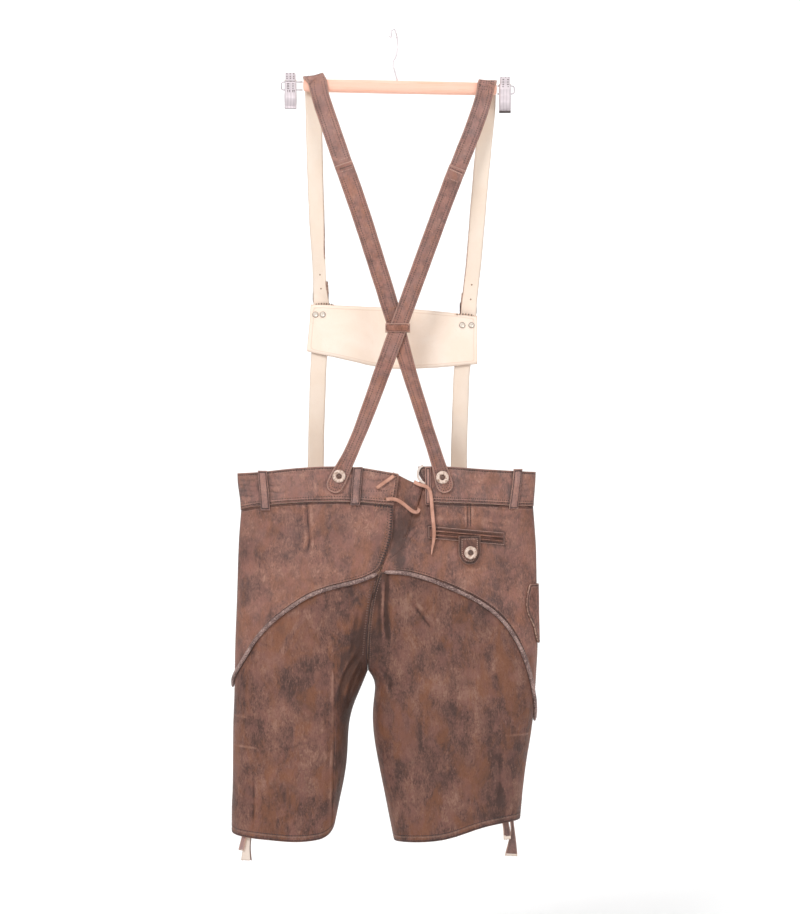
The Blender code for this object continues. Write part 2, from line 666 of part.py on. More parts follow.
def right_yoke(seam):
    """The right yoke starts at the slit's edge, which meets the centre seam at the slit's end."""
    def surface(s, t, lift):
        top_turn, top_z = waist_edge("right", "back", 2, turn_at("right", slit_x(-710), -710), 0.5)(s)
        bottom_turn, bottom_z = seam(s)
        z = blend(top_z, bottom_z, t)
        straight = blend(turn_at("right", slit_x(-710), -710), 0.0, t)
        edge = turn_at("right", slit_x(z), z)
        turn = blend(top_turn, bottom_turn, t) + (edge - straight) * (1.0 - s) ** 2
        return skin("right", turn, z, lift)
    return surface


def slit_x(z):
    return max(read_table(SLIT_EDGE, z, 1), centre_x(z) + SEAM_GAP / 2)


def waistbands():
    for half, face, start, end in (("left", "back", 0.0, 0.5), ("right", "back", 0.0, 0.5),
                                   ("left", "front", 0.5, 1.0), ("right", "front", 0.5, 1.0)):
        if (half, face) == ("right", "back"):
            surface = right_band
        else:
            surface = patch_between(half, waist_edge(half, face, 1, start, end),
                                    waist_edge(half, face, 2, start, end))
        wall(f"waistband_{face}_{half}", surface, SEAT_COLUMNS, 4, -LEATHER, BAND, LEATHER_OUT)


def right_band(s, t, lift):
    """The right back waistband, from its flared end at the slit; the flare curls inwards."""
    seam_edge = turn_at("right", slit_x(-710), -710)
    top_turn, top_z = waist_edge("right", "back", 1, seam_edge, 0.5)(s)
    seam_turn, seam_z = waist_edge("right", "back", 2, seam_edge, 0.5)(s)
    z = blend(top_z, seam_z, t)
    edge = turn_at("right", read_table(BAND_EDGE, z, 1), z)
    turn = blend(top_turn, seam_turn, t) + (edge - seam_edge) * (1.0 - s) ** 4
    return skin("right", turn, z, lift)


def pipings():
    for half in ("left", "right"):
        seam = yoke_seam(half)
        radius = PIPING_RADIUS
        points = []
        for k in range(SEAT_COLUMNS + 1):
            turn, z = seam(min(max(k / SEAT_COLUMNS, 0.012), 0.995))
            points.append(skin(half, turn, z, radius + SEAM_GAP + 0.3))
        wire(f"yoke_piping_{half}", points, radius, PIPING)


def gusset():
    """Three folded faces: a visible one, one that turns back behind it, and one to the far edge."""
    def corners(z):
        fold, deep = read_table(GUSSET, z, 1), read_table(GUSSET, z, 2)
        widen = smooth_step(SLIT_END, GUSSET_FULL, z)
        start = centre_x(z) - blend(*GUSSET_TUCK_LEFT, widen)
        end = slit_x(z) + blend(*GUSSET_TUCK_RIGHT, widen)
        below = LEATHER + SEAM_GAP + GUSSET_WALL / 2 + GUSSET_SUNK
        return ((start, below), (fold, below + 1.5), (fold - blend(*GUSSET_TURN_BACK, widen), below + deep),
                (end, below))

    def surface(s, t, lift):
        top = read_table(((0.0, GUSSET_TOP[0]), (1 / 3, GUSSET_TOP[1]), (2 / 3, GUSSET_TOP[2]),
                          (1.0, GUSSET_TOP[3])), s, 1)
        z = blend(top, GUSSET[-1][0], t)
        points = corners(z)
        leg = min(int(s * 3.0), 2)
        f = s * 3.0 - leg
        x = blend(points[leg][0], points[leg + 1][0], f)
        depth = blend(points[leg][1], points[leg + 1][1], f)
        base = on_face(x, z, 0.0) + Vector((0, depth, 0))
        if lift == 0.0:
            return base
        step = 0.03
        around = surface(min(s + step, 1.0), t, 0.0) - surface(max(s - step, 0.0), t, 0.0)
        out = around.cross(Vector((0, 0, 1))).normalized()
        return base + out * lift
    columns = (0.0, 0.12, 0.24, 0.315, 0.35, 0.42, 0.55, 0.645, 0.69, 0.8, 1.0)
    wall("back_gusset", surface, columns, 6, -GUSSET_WALL / 2, GUSSET_WALL / 2, LEATHER_OUT)


# ---------------------------------------------------------------- what lies on the body

def face_patch(x_left, x_right, z_top, z_bottom, face="back"):
    """Patch on the back or the front; each bound is a number or a function of the other share."""
    def at(bound, share):
        return bound(share) if callable(bound) else bound

    def surface(s, t, lift):
        z = blend(at(z_top, s), at(z_bottom, s), t)
        x = blend(at(x_left, t), at(x_right, t), s)
        return on_face(x, z, lift, face)
    return surface


def belt_loops():
    for name, face, x_top, x_bottom, width in LOOPS:
        z_top = read_table(WAIST[face], x_top, 1) - LOOP_TOP_DROP
        z_bottom = read_table(WAIST[face], x_bottom, 2) - LOOP_BELOW_SEAM
        patch = face_patch(lambda t: blend(x_top, x_bottom, t) - width / 2,
                           lambda t: blend(x_top, x_bottom, t) + width / 2, z_top, z_bottom, face)
        wall(name, patch, 2, 4, BAND + SEAM_GAP, BAND + SEAM_GAP + LOOP_WALL, LEATHER_DARK, gap=0.0)


def welt_pocket():
    patch = face_patch(WELT_X[0], WELT_X[1], lambda s: blend(*WELT_Z, s) + WELT_HEIGHT / 2,
                       lambda s: blend(*WELT_Z, s) - WELT_HEIGHT / 2)

    def lift(s, t):
        if t == 0.5 and s not in (0.0, 1.0):
            return WELT_MOUTH
        return WELT_LIP if 0.0 < t < 1.0 else WELT_RIM
    wall("pocket_welt", patch, 8, (0.0, 0.2, 0.4, 0.5, 0.6, 0.8, 1.0), SEAM_GAP, lift, LEATHER_DARK,
         gap=0.0)

    middle, half_width = sum(TAB_X) / 2, (TAB_X[1] - TAB_X[0]) / 2

    def rounding(t):
        into_end = max((t - TAB_STRAIGHT) / (1.02 - TAB_STRAIGHT), 0.0)
        return half_width * math.sqrt(1.0 - into_end ** 2)
    tab = face_patch(lambda t: middle - rounding(t), lambda t: middle + rounding(t), *TAB_Z)
    low = WELT_LIP + SEAM_GAP
    wall("pocket_tab", tab, 4, (0.0, 0.3, TAB_STRAIGHT, 0.7, 0.85, 0.94, 1.0), low, low + TAB_WALL,
         LEATHER_OUT, gap=0.0)
    x, z = POCKET_BUTTON
    button("pocket_button", on_face(x, z, low + TAB_WALL + SEAM_GAP), face_normal(x, z), HORN)


def knife_pocket():
    heights = [row[0] for row in KNIFE_POCKET]

    def surface(s, t, lift):
        z = blend(heights[0], heights[-1], t)
        turn = blend(read_table(KNIFE_POCKET, z, 1), read_table(KNIFE_POCKET, z, 2), s)
        return skin("right", turn, z, lift)
    wall("knife_pocket", surface, 14, 6, *KNIFE_POCKET_LIFTS, LEATHER_DARK, gap=0.0)


def front_flap():
    def half_width(t):
        z = blend(FLAP_TOP, FLAP_BOTTOM, t)
        straight = blend(FLAP_TOP_HALF, FLAP_BOTTOM_HALF, t)
        into_corner = max(FLAP_BOTTOM + FLAP_CORNER - z, 0.0)
        return straight - FLAP_CORNER + math.sqrt(max(FLAP_CORNER ** 2 - into_corner ** 2, 0.0))
    low = BAND + SEAM_GAP
    patch = face_patch(lambda t: FLAP_MIDDLE - half_width(t), lambda t: FLAP_MIDDLE + half_width(t),
                       FLAP_TOP, FLAP_BOTTOM, "front")
    wall("front_flap", patch, 12, (0.0, 0.25, 0.5, 0.72, 0.86, 0.9, 0.95, 0.98, 1.0), low,
         low + LEATHER, LEATHER_OUT, gap=0.0)
    for side, name in ((-1, "left"), (1, "right")):
        x = FLAP_MIDDLE + side * (FLAP_TOP_HALF - FLAP_BUTTON_INSET)
        button(f"flap_button_{name}", on_face(x, FLAP_BUTTON_Z, low + LEATHER + SEAM_GAP, "front"),
               face_normal(x, FLAP_BUTTON_Z, "front"), HORN)
    x = centre_x(WAIST_BUTTON_Z) - SEAM_GAP
    button("waist_button", on_face(x, WAIST_BUTTON_Z, BAND + SEAM_GAP, "front"),
           face_normal(x, WAIST_BUTTON_Z, "front"), HORN, diameter=WAIST_BUTTON_DIAMETER)


# ---------------------------------------------------------------- braces

def over_waistband(x_at, top_z, end_z, face, width_at, thick, step=9.0):
    """Stations of a strap that lies on the waistband, from above its top edge down."""
    stations = []
    count = max(int((top_z - end_z) / step), 3)
    for k in range(count + 1):
        z = blend(top_z, end_z, k / count)
        x = x_at(z)
        lift = BAND + REST_GAP + thick / 2
        stations.append((on_face(x, z, lift, face), face_normal(x, z, face), width_at(z)))
    return stations


def back_straps():
    for key, other in (("a", "right"), ("b", "left")):
        rows = BACK_STRAP[key]
        middles = through([(x, y, z) for z, x, y, _ in rows], 17)
        stations = [(m, Vector((0, -1, 0)), read_table(rows, m.z, 3)) for m in middles]
        bx, bz = BACK_BUTTON[key]
        last = rows[-1]
        stations += over_waistband(lambda z: blend(last[1], bx, (last[0] - z) / (last[0] - bz)), -652.0,
                                   STRAP_END_Z + 13.0, "back",
                                   lambda z: read_table(STRAP_END_WIDTH[key], z, 1), STRAP)
        stations = round_end(stations, stations[-1][2] / 2)
        band(f"back_strap_to_{other}", stations, STRAP, LEATHER_OUT)
        lift = BAND + REST_GAP + STRAP + SEAM_GAP + 0.1
        button(f"back_button_{other}", on_face(bx, bz, lift), face_normal(bx, bz), HORN)


def bar_top(x):
    return BAR_CENTRE[2] + BAR_HEIGHT / 2 / math.cos(BAR_TILT) - (x - BAR_CENTRE[0]) * math.tan(BAR_TILT)


def front_y(z):
    return read_table(FRONT_FALL, z, 1)


def front_station(key, z):
    """Middle, outward direction and width of the shoulder strap in front of the bar."""
    rows = SHOULDER_FRONT[key]
    twist = math.radians(read_table(rows, z, 3))
    return (Vector((read_table(rows, z, 1), front_y(z), z)),
            Vector((math.sin(twist), math.cos(twist), 0)), read_table(rows, z, 2))


def shoulder_straps():
    for key, name in (("a", "left"), ("b", "right")):
        rows = SHOULDER_BACK[key]
        stations = [(m, Vector((0, -1, 0)), read_table(rows, m.z, 3)) for m in
                    through([(x, y, z) for z, x, y, _ in rows], 6)]
        x_top, tilt = SHOULDER_TOP_X[key], SHOULDER_TILT[key]
        radius = BAR_ROUNDING + STRAP / 2 + BAR_CLEAR
        low_edge = stations[-1][2] / 2 * abs(math.sin(tilt + BAR_TILT))
        corner_z = bar_top(x_top) + low_edge + STRAP / 2 + BAR_CLEAR - radius
        corner_y = BAR_THICK / 2 + STRAP / 2 + BAR_CLEAR - radius
        width = rows[-1][3]
        for a in range(0, 181, 15):
            angle = math.radians(a)
            f = smooth_step(0.0, 180.0, a)
            middle = Vector((blend(rows[-1][1], x_top, smooth_step(-60.0, 90.0, a)),
                             math.copysign(corner_y, a - 90.0) - radius * math.cos(angle),
                             corner_z + radius * math.sin(angle)))
            out = Vector((-math.sin(tilt) * math.sin(angle), -math.cos(angle), math.sin(angle)))
            stations.append((middle, out.normalized(), blend(width, SHOULDER_FRONT[key][0][2], f)))
        first, last = SHOULDER_FRONT[key][0][0], SHOULDER_FRONT[key][-1][0]
        stations += [front_station(key, blend(first, last, k / FRONT_STEPS)) for k in
                     range(FRONT_STEPS + 1)]
        band(f"shoulder_strap_{name}", stations, STRAP, LEATHER_OUT)


def breast_y(x):
    """The breast bar hangs on the garment's side of the braces and bows a little."""
    to_end = min(abs(x) / BREAST_BAR[-1][0], 1.0)
    return BREAST_BAR_Y - BREAST_BAR_BOW * math.cos(to_end * math.pi / 2)


def breast_bar():
    first, last = BREAST_BAR[0][0], BREAST_BAR[-1][0]

    def surface(s, t, lift):
        x = blend(first, last, s)
        z = blend(read_table(BREAST_BAR, x, 1), read_table(BREAST_BAR, x, 2), t)
        return Vector((x, breast_y(x) - lift, z))
    wall("breast_bar", surface, 14, 4, -BREAST_BAR_WALL / 2, BREAST_BAR_WALL / 2, FLESH, gap=0.0)
    for key, name in (("a", "left"), ("b", "right")):
        for number, x in enumerate(RIVETS[key], 1):
            r = RIVET_DIAMETER / 2
            profile = ((0, 1.6), (r * 0.55, 1.3), (r, 0.5), (r, 0), (0, 0))
            point = Vector((x, breast_y(x) - BREAST_BAR_WALL / 2 - SEAM_GAP, RIVET_Z[key]))
            turned(f"rivet_{name}_{number}", profile, facing(point, Vector((0, -1, 0))), METAL, 12)


def chest_straps():
    for key, name in (("a", "left"), ("b", "right")):
        rows = CHEST[key]
        behind_bar = BREAST_BAR_WALL / 2 + REST_GAP + THIN_STRAP / 2

        def y_at(z):
            return blend(breast_y(BREAST_BAR[-1][0]) + behind_bar, front_y(z),
                         smooth_step(-515.0, -600.0, z))
        middles = through([(x, y_at(z), z) for z, x, _ in rows[:-1]], 12)
        stations = [(m, Vector((0, 1, 0)), read_table(rows, m.z, 2)) for m in middles]
        x_end, end_width = rows[-1][1:]
        stations += over_waistband(lambda z: x_end, -672.0, CHEST_END_Z + 12.0, "front",
                                   lambda z: end_width, THIN_STRAP)
        stations = round_end(stations, end_width / 2)
        band(f"chest_strap_{name}", stations, THIN_STRAP, LEATHER_OUT)
        lift = BAND + REST_GAP + THIN_STRAP + SEAM_GAP + 0.1
        button(f"chest_button_{name}", on_face(x_end, CHEST_BUTTON_Z, lift, "front"),
               face_normal(x_end, CHEST_BUTTON_Z, "front"), HORN)


def buckles():
    """Each buckle and its tab lie on the outer side of a shoulder strap, above the breast bar."""
    tab_off = STRAP / 2 + REST_GAP + THIN_STRAP / 2 + 0.7
    ring_off = tab_off + THIN_STRAP / 2 + SEAM_GAP + BUCKLE_WIRE + 0.9
    for key, name in (("a", "left"), ("b", "right")):
        height = BUCKLE_Z[key]
        stations = []
        for z in (height + 19, height + 13, height + 7, height + 1):
            middle, out, width = front_station(key, z)
            stations.append((middle + out * tab_off, out, width))
        band(f"buckle_tab_{name}", stations, THIN_STRAP, LEATHER_OUT)

        middle, out, _ = front_station(key, height)
        centre = middle + out * ring_off
        across, up = Vector((out.y, -out.x, 0)), Vector((0, 0, 1))
        corner = 6.0
        bm = bmesh.new()
        rings = []
        for a in range(0, 360, 15):
            angle = math.radians(a + 7.5)
            radial = across * math.cos(angle) + up * math.sin(angle)
            corner_at = (centre + across * math.copysign(BUCKLE_WIDTH / 2 - corner, math.cos(angle))
                         + up * math.copysign(BUCKLE_HEIGHT / 2 - corner, math.sin(angle)))
            on_line = corner_at + radial * (corner - BUCKLE_WIRE)
            rings.append([bm.verts.new((on_line + radial * BUCKLE_WIRE * math.cos(math.radians(b))
                                        + out * BUCKLE_WIRE * math.sin(math.radians(b))) * MM)
                          for b in range(0, 360, 60)])
        for k, ring in enumerate(rings):
            after = rings[(k + 1) % len(rings)]
            for i in range(6):
                j = (i + 1) % 6
                bm.faces.new((ring[i], ring[j], after[j], after[i]))
        add_object(f"buckle_{name}", mesh_from(bm, f"buckle_{name}"), METAL)


def keeper():
    x, z = CROSSING
    y_back = read_table(BACK_STRAP["b"], z, 2) - STRAP / 2 - REST_GAP
    y_front = read_table(BACK_STRAP["a"], z, 2) + STRAP / 2 + REST_GAP
    outer = bmesh.new()
    loops = []
    for height in (z + KEEPER_HEIGHT / 2, z - KEEPER_HEIGHT / 2):
        for grow in (0.0, KEEPER_WALL):
            loops.append([outer.verts.new(Vector((x + sx * (KEEPER_HALF + grow),
                                                  y_front + grow if sy > 0 else y_back - grow,
                                                  height)) * MM)
                          for sx, sy in ((-1, -1), (1, -1), (1, 1), (-1, 1))])
    top_in, top_out, low_in, low_out = loops
    for a, b in ((top_in, top_out), (top_out, low_out), (low_out, low_in), (low_in, top_in)):
        for i in range(4):
            j = (i + 1) % 4
            outer.faces.new((a[i], a[j], b[j], b[i]))
    add_object("strap_keeper", mesh_from(outer, "strap_keeper"), LEATHER_DARK)


# ---------------------------------------------------------------- thongs and ties

def thong(name, route, count):
    middles = through([on_face(x, z, lift) for x, z, lift in route], count)
    stations = [(m, face_normal(m.x, m.z), THONG_WIDTH) for m in middles]
    return band(name, stations, THONG_THICK, LACE)


def lacing():
    thong("lace_stitch", STITCH_ROUTE, 6)
    thong("lace_slack", SLACK_ROUTE, 16)
    thong("lace_end", END_ROUTE, 22)


def hem_ties():
    for name, inside, rows in HEM_TIES:
        x, z = rows[1][:2]
        at_hem = on_face(x, z + 4.0, -LEATHER - inside).y
        stations = []
        for x, z, width, off in rows:
            facing_back = Vector((math.sin(math.radians(off)), -math.cos(math.radians(off)), 0))
            y = max(at_hem, on_face(x, z, -LEATHER - inside).y) if z > rows[1][1] else at_hem
            stations.append((Vector((x, y, z)), facing_back, width))
        band(name, stations, TIE_THICK, LEATHER_OUT if "short" in name else FLESH)


# ---------------------------------------------------------------- hanger

def hanger():
    bpy.ops.mesh.primitive_cube_add(size=1.0)
    bar = bpy.context.object
    bar.name = "hanger_bar"
    for vert in bar.data.vertices:
        vert.co.x *= BAR_LENGTH * MM
        vert.co.y *= BAR_THICK * MM
        vert.co.z *= BAR_HEIGHT * MM
    bar.matrix_world = (Matrix.Translation(Vector(BAR_CENTRE) * MM)
                        @ Matrix.Rotation(BAR_TILT, 4, "Y"))
    bevel = bar.modifiers.new("rounding", "BEVEL")
    bevel.width = BAR_ROUNDING * MM
    bevel.segments = 2
    bar.data.materials.append(WOOD)
    for owner in list(bar.users_collection):
        owner.objects.unlink(bar)
    parts.objects.link(bar)

    middle, across = Vector((0.0, 0.0, HOOK_WIRE - HOOK_LOOP)), Vector(HOOK_ACROSS)
    points = [middle + across * HOOK_LOOP * math.cos(math.radians(a))
              + Vector((0, 0, HOOK_LOOP * math.sin(math.radians(a)))) for a in range(168, -41, -14)]
    stem_foot = Vector((HOOK_FOOT_X, 0.0, bar_top(HOOK_FOOT_X) + SEAM_GAP + 0.1))
    stem = through([points[-1], *HOOK_STEM, stem_foot], 10)
    points += stem[1:]
    radii = [1.55, 1.45] + [1.0] * (len(points) - 2)
    wire("hanger_hook", points, HOOK_WIRE, METAL, radii=radii)

    for side, name, clip_x, clip_z, loop_x in ARMS:
        bar_end = (Vector(BAR_CENTRE) + Matrix.Rotation(BAR_TILT, 3, "Y")
                   @ Vector((side * BAR_LENGTH / 2, 0, 0)))
        near = bar_end.x + side * 2 * SEAM_GAP
        far = loop_x - side * (ARM_WIRE + ARM_CORNER)
        arm = []
        for up in (1, -1):
            level = clip_z + up * ARM_HALF_GAP
            rod = [Vector((x, 0, level)) for x in (near, clip_x, far)]
            bend = [Vector((far + side * ARM_CORNER * math.sin(math.radians(a)), 0,
                            level - up * ARM_CORNER * (1 - math.cos(math.radians(a)))))
                    for a in (30, 60, 90)]
            arm += rod + bend if up > 0 else (rod + bend)[::-1]
        wire(f"hanger_arm_{name}", arm, ARM_WIRE, METAL)
        clip(f"hanger_clip_{name}", clip_x, clip_z)


def clip(name, x, z):
    """Two bent plates that are pinched round the arm and meet at their lower pads, as one body."""
    outside = [(y + CLIP_PLATE, h) for y, h in CLIP_JAW] + [CLIP_TIP]
    loop = [(-y, h) for y, h in outside] + [(y, h) for y, h in reversed(outside)]
    loop += [(y, h) for y, h in CLIP_JAW] + [(-y, h) for y, h in reversed(CLIP_JAW)]
    rings = [[Vector((x + side * CLIP_WIDTH / 2, y, z + h)) for y, h in loop] for side in (-1, 1)]
    loft(name, rings, METAL)


for old in list(bpy.data.objects):
    bpy.data.objects.remove(old, do_unlink=True)
parts = bpy.data.collections.new("lederhosen_on_hanger")
bpy.context.scene.collection.children.link(parts)

LEATHER_OUT = material("brown_leather", (0.20, 0.105, 0.07), 0.7)
LEATHER_DARK = material("dark_leather", (0.13, 0.085, 0.075), 0.65)
PIPING = material("grey_piping", (0.20, 0.17, 0.165), 0.6)
FLESH = material("flesh_side", (0.86, 0.70, 0.55), 0.9)
LACE = material("tan_thong", (0.58, 0.33, 0.22), 0.75)
HORN = material("horn_button", (0.55, 0.44, 0.36), 0.4)
METAL = material("steel", (0.72, 0.70, 0.68), 0.25, 1.0)
WOOD = material("pale_wood", (0.80, 0.58, 0.38), 0.55)

body_panels()
waistbands()
pipings()
gusset()
belt_loops()
welt_pocket()
knife_pocket()
front_flap()
back_straps()
shoulder_straps()
breast_bar()
chest_straps()
buckles()
keeper()
lacing()
hem_ties()
hanger()
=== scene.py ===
import math
import random

import bmesh
import bpy
import numpy as np
from mathutils import Matrix, Vector, noise
from mathutils.bvhtree import BVHTree
from mathutils.kdtree import KDTree


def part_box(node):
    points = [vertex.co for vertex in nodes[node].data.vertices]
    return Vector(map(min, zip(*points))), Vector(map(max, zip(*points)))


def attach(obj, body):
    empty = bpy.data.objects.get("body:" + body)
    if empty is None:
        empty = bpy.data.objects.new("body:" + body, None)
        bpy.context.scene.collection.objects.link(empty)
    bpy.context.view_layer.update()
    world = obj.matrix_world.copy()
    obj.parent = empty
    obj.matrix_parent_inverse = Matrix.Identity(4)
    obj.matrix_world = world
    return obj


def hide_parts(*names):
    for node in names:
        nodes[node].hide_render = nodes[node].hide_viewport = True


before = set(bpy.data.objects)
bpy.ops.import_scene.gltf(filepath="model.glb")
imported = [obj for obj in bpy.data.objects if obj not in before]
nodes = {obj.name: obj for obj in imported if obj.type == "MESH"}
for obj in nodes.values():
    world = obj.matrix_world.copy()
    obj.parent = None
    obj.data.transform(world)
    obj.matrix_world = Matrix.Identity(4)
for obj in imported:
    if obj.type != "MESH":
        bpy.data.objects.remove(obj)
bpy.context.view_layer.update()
scene = bpy.context.scene
rng = random.Random(12)
mm = 0.001
joining = {"weld": 0.002, "flat": math.radians(40), "shape": math.radians(60)}  # CAD triangles back to larger faces
thin = {"cut": 0.16, "narrow": 0.4, "facing": 0.5, "bent": 0.6}  # a cut edge: its share of the largest side, its turn
tintRange = (-1.6, 1)
patchShare = 0.62  # patches tint less than lines do


def rgb(red, green, blue):
    # screen colour, 0 to 255, as the linear one that shaders take
    lin = [(c / 255 / 12.92) if c <= 10 else ((c / 255 + 0.055) / 1.055) ** 2.4 for c in (red, green, blue)]
    return (*lin, 1.0)


# meshes

def camel(first, node, skip):
    # a piece's name from a node's words
    return first + "".join(word.capitalize() for word in node.split("_")[skip:])


def cadCopy(name):
    bm = bmesh.new()
    bm.from_mesh(nodes[name].data)
    bmesh.ops.remove_doubles(bm, verts=bm.verts, dist=joining["weld"] * mm)
    bmesh.ops.join_triangles(bm, faces=bm.faces, angle_face_threshold=joining["flat"],
                             angle_shape_threshold=joining["shape"])
    return bm


def awayFromAxis(centre):
    return Vector((0, -1, 0)) if centre.y < 0 else Vector((0, 1, 0))


def towardsBack(centre):
    return Vector((0, -1, 0))


def towardsFront(centre):
    return Vector((0, 1, 0))


def towardsRight(centre):
    return Vector((1, 0, 0))


def overTheBar(centre):
    # outside of a strap that hangs over the hanger's bar
    return Vector((0, centre.y, centre.z + 0.086 if centre.z > -0.086 else 0)).normalized()


def markSides(bm, away, sharp=62, bent=False):
    # material 0 on the outside, 1 on the underside, 2 on the cut edges, and creased edges between them
    seen, groups, limit = set(), [], math.radians(sharp)
    for face in bm.faces:
        if face in seen:
            continue
        stack, found = [face], []
        seen.add(face)
        while stack:
            one = stack.pop()
            found.append(one)
            for edge in one.edges:
                if not bent and len(edge.link_faces) == 2 and edge.calc_face_angle(0) < limit:
                    fresh = [other for other in edge.link_faces if other not in seen]
                    seen.update(fresh)
                    stack += fresh
        groups.append(found)
    areas = [sum(f.calc_area() for f in g) for g in groups]
    large = max(areas)
    for found, area in zip(groups, areas):
        facing = sum(f.normal.dot(away(f.calc_center_median())) * f.calc_area() for f in found) / area
        cutEdge = area < thin["cut"] * large or area < thin["narrow"] * large and abs(facing) < thin["facing"]
        if bent:
            cutEdge = abs(facing) < thin["bent"]
        for face in found:
            face.material_index = 2 if cutEdge else (0 if facing > 0 else 1)
    layer = bm.edges.layers.float.get("crease_edge") or bm.edges.layers.float.new("crease_edge")
    for edge in bm.edges:
        if len(edge.link_faces) == 2:
            first, second = edge.link_faces
            if not bent and edge.calc_face_angle(0) > limit or first.material_index != second.material_index:
                edge[layer] = 1.0


def toPiece(name, bm, finishes, smooth=True):
    mesh = bpy.data.meshes.new(name)
    bm.to_mesh(mesh)
    bm.free()
    piece = bpy.data.objects.new(name, mesh)
    scene.collection.objects.link(piece)
    for finish in finishes:
        mesh.materials.append(finish)
    for polygon in mesh.polygons:
        polygon.use_smooth = smooth
    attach(piece, "root")
    return piece


def smoothed(piece, levels):
    # subdivided, with the mesh kept as the modifier leaves it
    sub = piece.modifiers.new("smooth", "SUBSURF")
    sub.levels = sub.render_levels = levels
    sub.boundary_smooth = "PRESERVE_CORNERS"
    made = bpy.data.meshes.new_from_object(piece.evaluated_get(bpy.context.evaluated_depsgraph_get()))
    piece.modifiers.clear()
    old = piece.data
    piece.data = made
    bpy.data.meshes.remove(old)
    made.name = piece.name
    return piece


def points(piece):
    co = np.zeros(len(piece.data.vertices) * 3)
    piece.data.vertices.foreach_get("co", co)
    return co.reshape(-1, 3)


def setPoints(piece, co):
    piece.data.vertices.foreach_set("co", co.ravel())
    piece.data.update()


def treeOf(pieces):
    bm = bmesh.new()
    for piece in pieces:
        bm.from_mesh(piece.data)
    made = BVHTree.FromBMesh(bm)
    bm.free()
    return made


def sideVertices(piece, side):
    # which points belong to a side's faces
    used = np.zeros(len(piece.data.vertices), bool)
    for polygon in piece.data.polygons:
        if polygon.material_index == side:
            used[list(polygon.vertices)] = True
    return used


def nearest(spots, co):
    # millimetres from each point to the nearest of the spots
    tree = KDTree(len(spots))
    for k, spot in enumerate(spots):
        tree.insert(spot, k)
    tree.balance()
    return np.array([tree.find(p)[2] for p in co]) / mm


def rimDistance(piece, apart=1.4):
    # distance to the nearest cut edge, kept as an attribute for the finishes
    co = points(piece)
    ends = np.zeros(len(piece.data.edges) * 2, int)
    piece.data.edges.foreach_get("vertices", ends)
    ends = ends.reshape(-1, 2)
    cut = sideVertices(piece, 2) & (sideVertices(piece, 0) | sideVertices(piece, 1))
    ends = ends[cut[ends].all(1)]
    spots = [co[a] + (co[b] - co[a]) * k / count for a, b in ends
             for count in [int(np.linalg.norm(co[b] - co[a]) / (apart * mm)) + 1] for k in range(count)]
    value = nearest(spots, co) if spots else np.full(len(co), 50.0)
    setAttribute(piece, "rim", value)
    return value


def hemDistance(piece, column=5, tall=4, highest=-1.1):
    # distance to the lowest cut edge, found in columns of the leg
    co = points(piece)
    rims = np.nonzero(sideVertices(piece, 2))[0]
    bins = np.round(co[rims, 0] / (column * mm)).astype(int)
    lowest = {k: co[rims][bins == k, 2].min() for k in set(bins)}
    hem = [co[k] for k, b in zip(rims, bins) if co[k, 2] < lowest[b] + tall * mm and lowest[b] < highest]
    setAttribute(piece, "hem", nearest(hem, co))


def setAttribute(piece, name, value):
    kept = piece.data.attributes.get(name) or piece.data.attributes.new(name, "FLOAT", "POINT")
    kept.data.foreach_set("value", np.asarray(value, np.float32))


def alongLine(co, line):
    # for each point: distance in millimetres to a line of (x, z) points, how far along it 0 to 1, and its side
    p = co[:, [0, 2]] / mm
    line = np.array(line, float)
    best = np.full(len(p), 1e9)
    along = np.zeros(len(p))
    hand = np.zeros(len(p))
    runs = np.linalg.norm(np.diff(line, axis=0), axis=1)
    total, before = runs.sum(), 0.0
    for a, b, run in zip(line, line[1:], runs):
        d = b - a
        t = np.clip(((p - a) @ d) / (run * run), 0, 1)
        near = a + t[:, None] * d
        off = np.linalg.norm(p - near, axis=1)
        closer = off < best
        best[closer] = off[closer]
        along[closer] = ((before + t * run) / total)[closer]
        hand[closer] = np.sign(d[0] * (p[:, 1] - a[1]) - d[1] * (p[:, 0] - a[0]))[closer]
        before += run
    return best, along, hand


def curved(line, count=8):
    # a line of few points made smooth
    pts = [np.array(p, float) for p in line]
    if len(pts) < 3:
        return [tuple(p) for p in pts]
    ends = [2 * pts[0] - pts[1]] + pts + [2 * pts[-1] - pts[-2]]
    made = []
    for a, b, c, d in zip(ends, ends[1:], ends[2:], ends[3:]):
        for k in range(count):
            f = k / count
            made.append(0.5 * (2 * b + (c - a) * f + (2 * a - 5 * b + 4 * c - d) * f * f
                               + (3 * b - a - 3 * c + d) * f ** 3))
    made.append(pts[-1])
    return [tuple(p) for p in made]


def crease(co, line, width, height, fade):
    # a soft uneven ridge, or a trough where height is negative: millimetres out of the leather at each point
    off, along, _ = alongLine(co, curved(line))
    ends = np.clip(np.minimum(along, 1 - along) / fade, 0, 1)
    uneven = 0.8 + 0.2 * np.sin(along * 17 + width)
    return height * uneven * (ends * ends * (3 - 2 * ends)) * np.exp(-(off / width) ** 2)


def patch(co, x, z, wide, high, amount):
    # a soft oval of colour
    return amount * np.exp(-((co[:, 0] / mm - x) / wide) ** 2 - ((co[:, 2] / mm - z) / high) ** 2)


def refine(piece, lines, reach):
    # more faces beside narrow creases
    bm = bmesh.new()
    bm.from_mesh(piece.data)
    centres = np.array([f.calc_center_median() for f in bm.faces])
    close = np.zeros(len(centres), bool)
    for line in lines:
        close |= alongLine(centres, curved(line))[0] < reach
    edges = {edge for face, near in zip(bm.faces, close) if near and face.material_index == 0 for edge in face.edges}
    bmesh.ops.subdivide_edges(bm, edges=list(edges), cuts=1, use_grid_fill=True)
    bm.to_mesh(piece.data)
    bm.free()


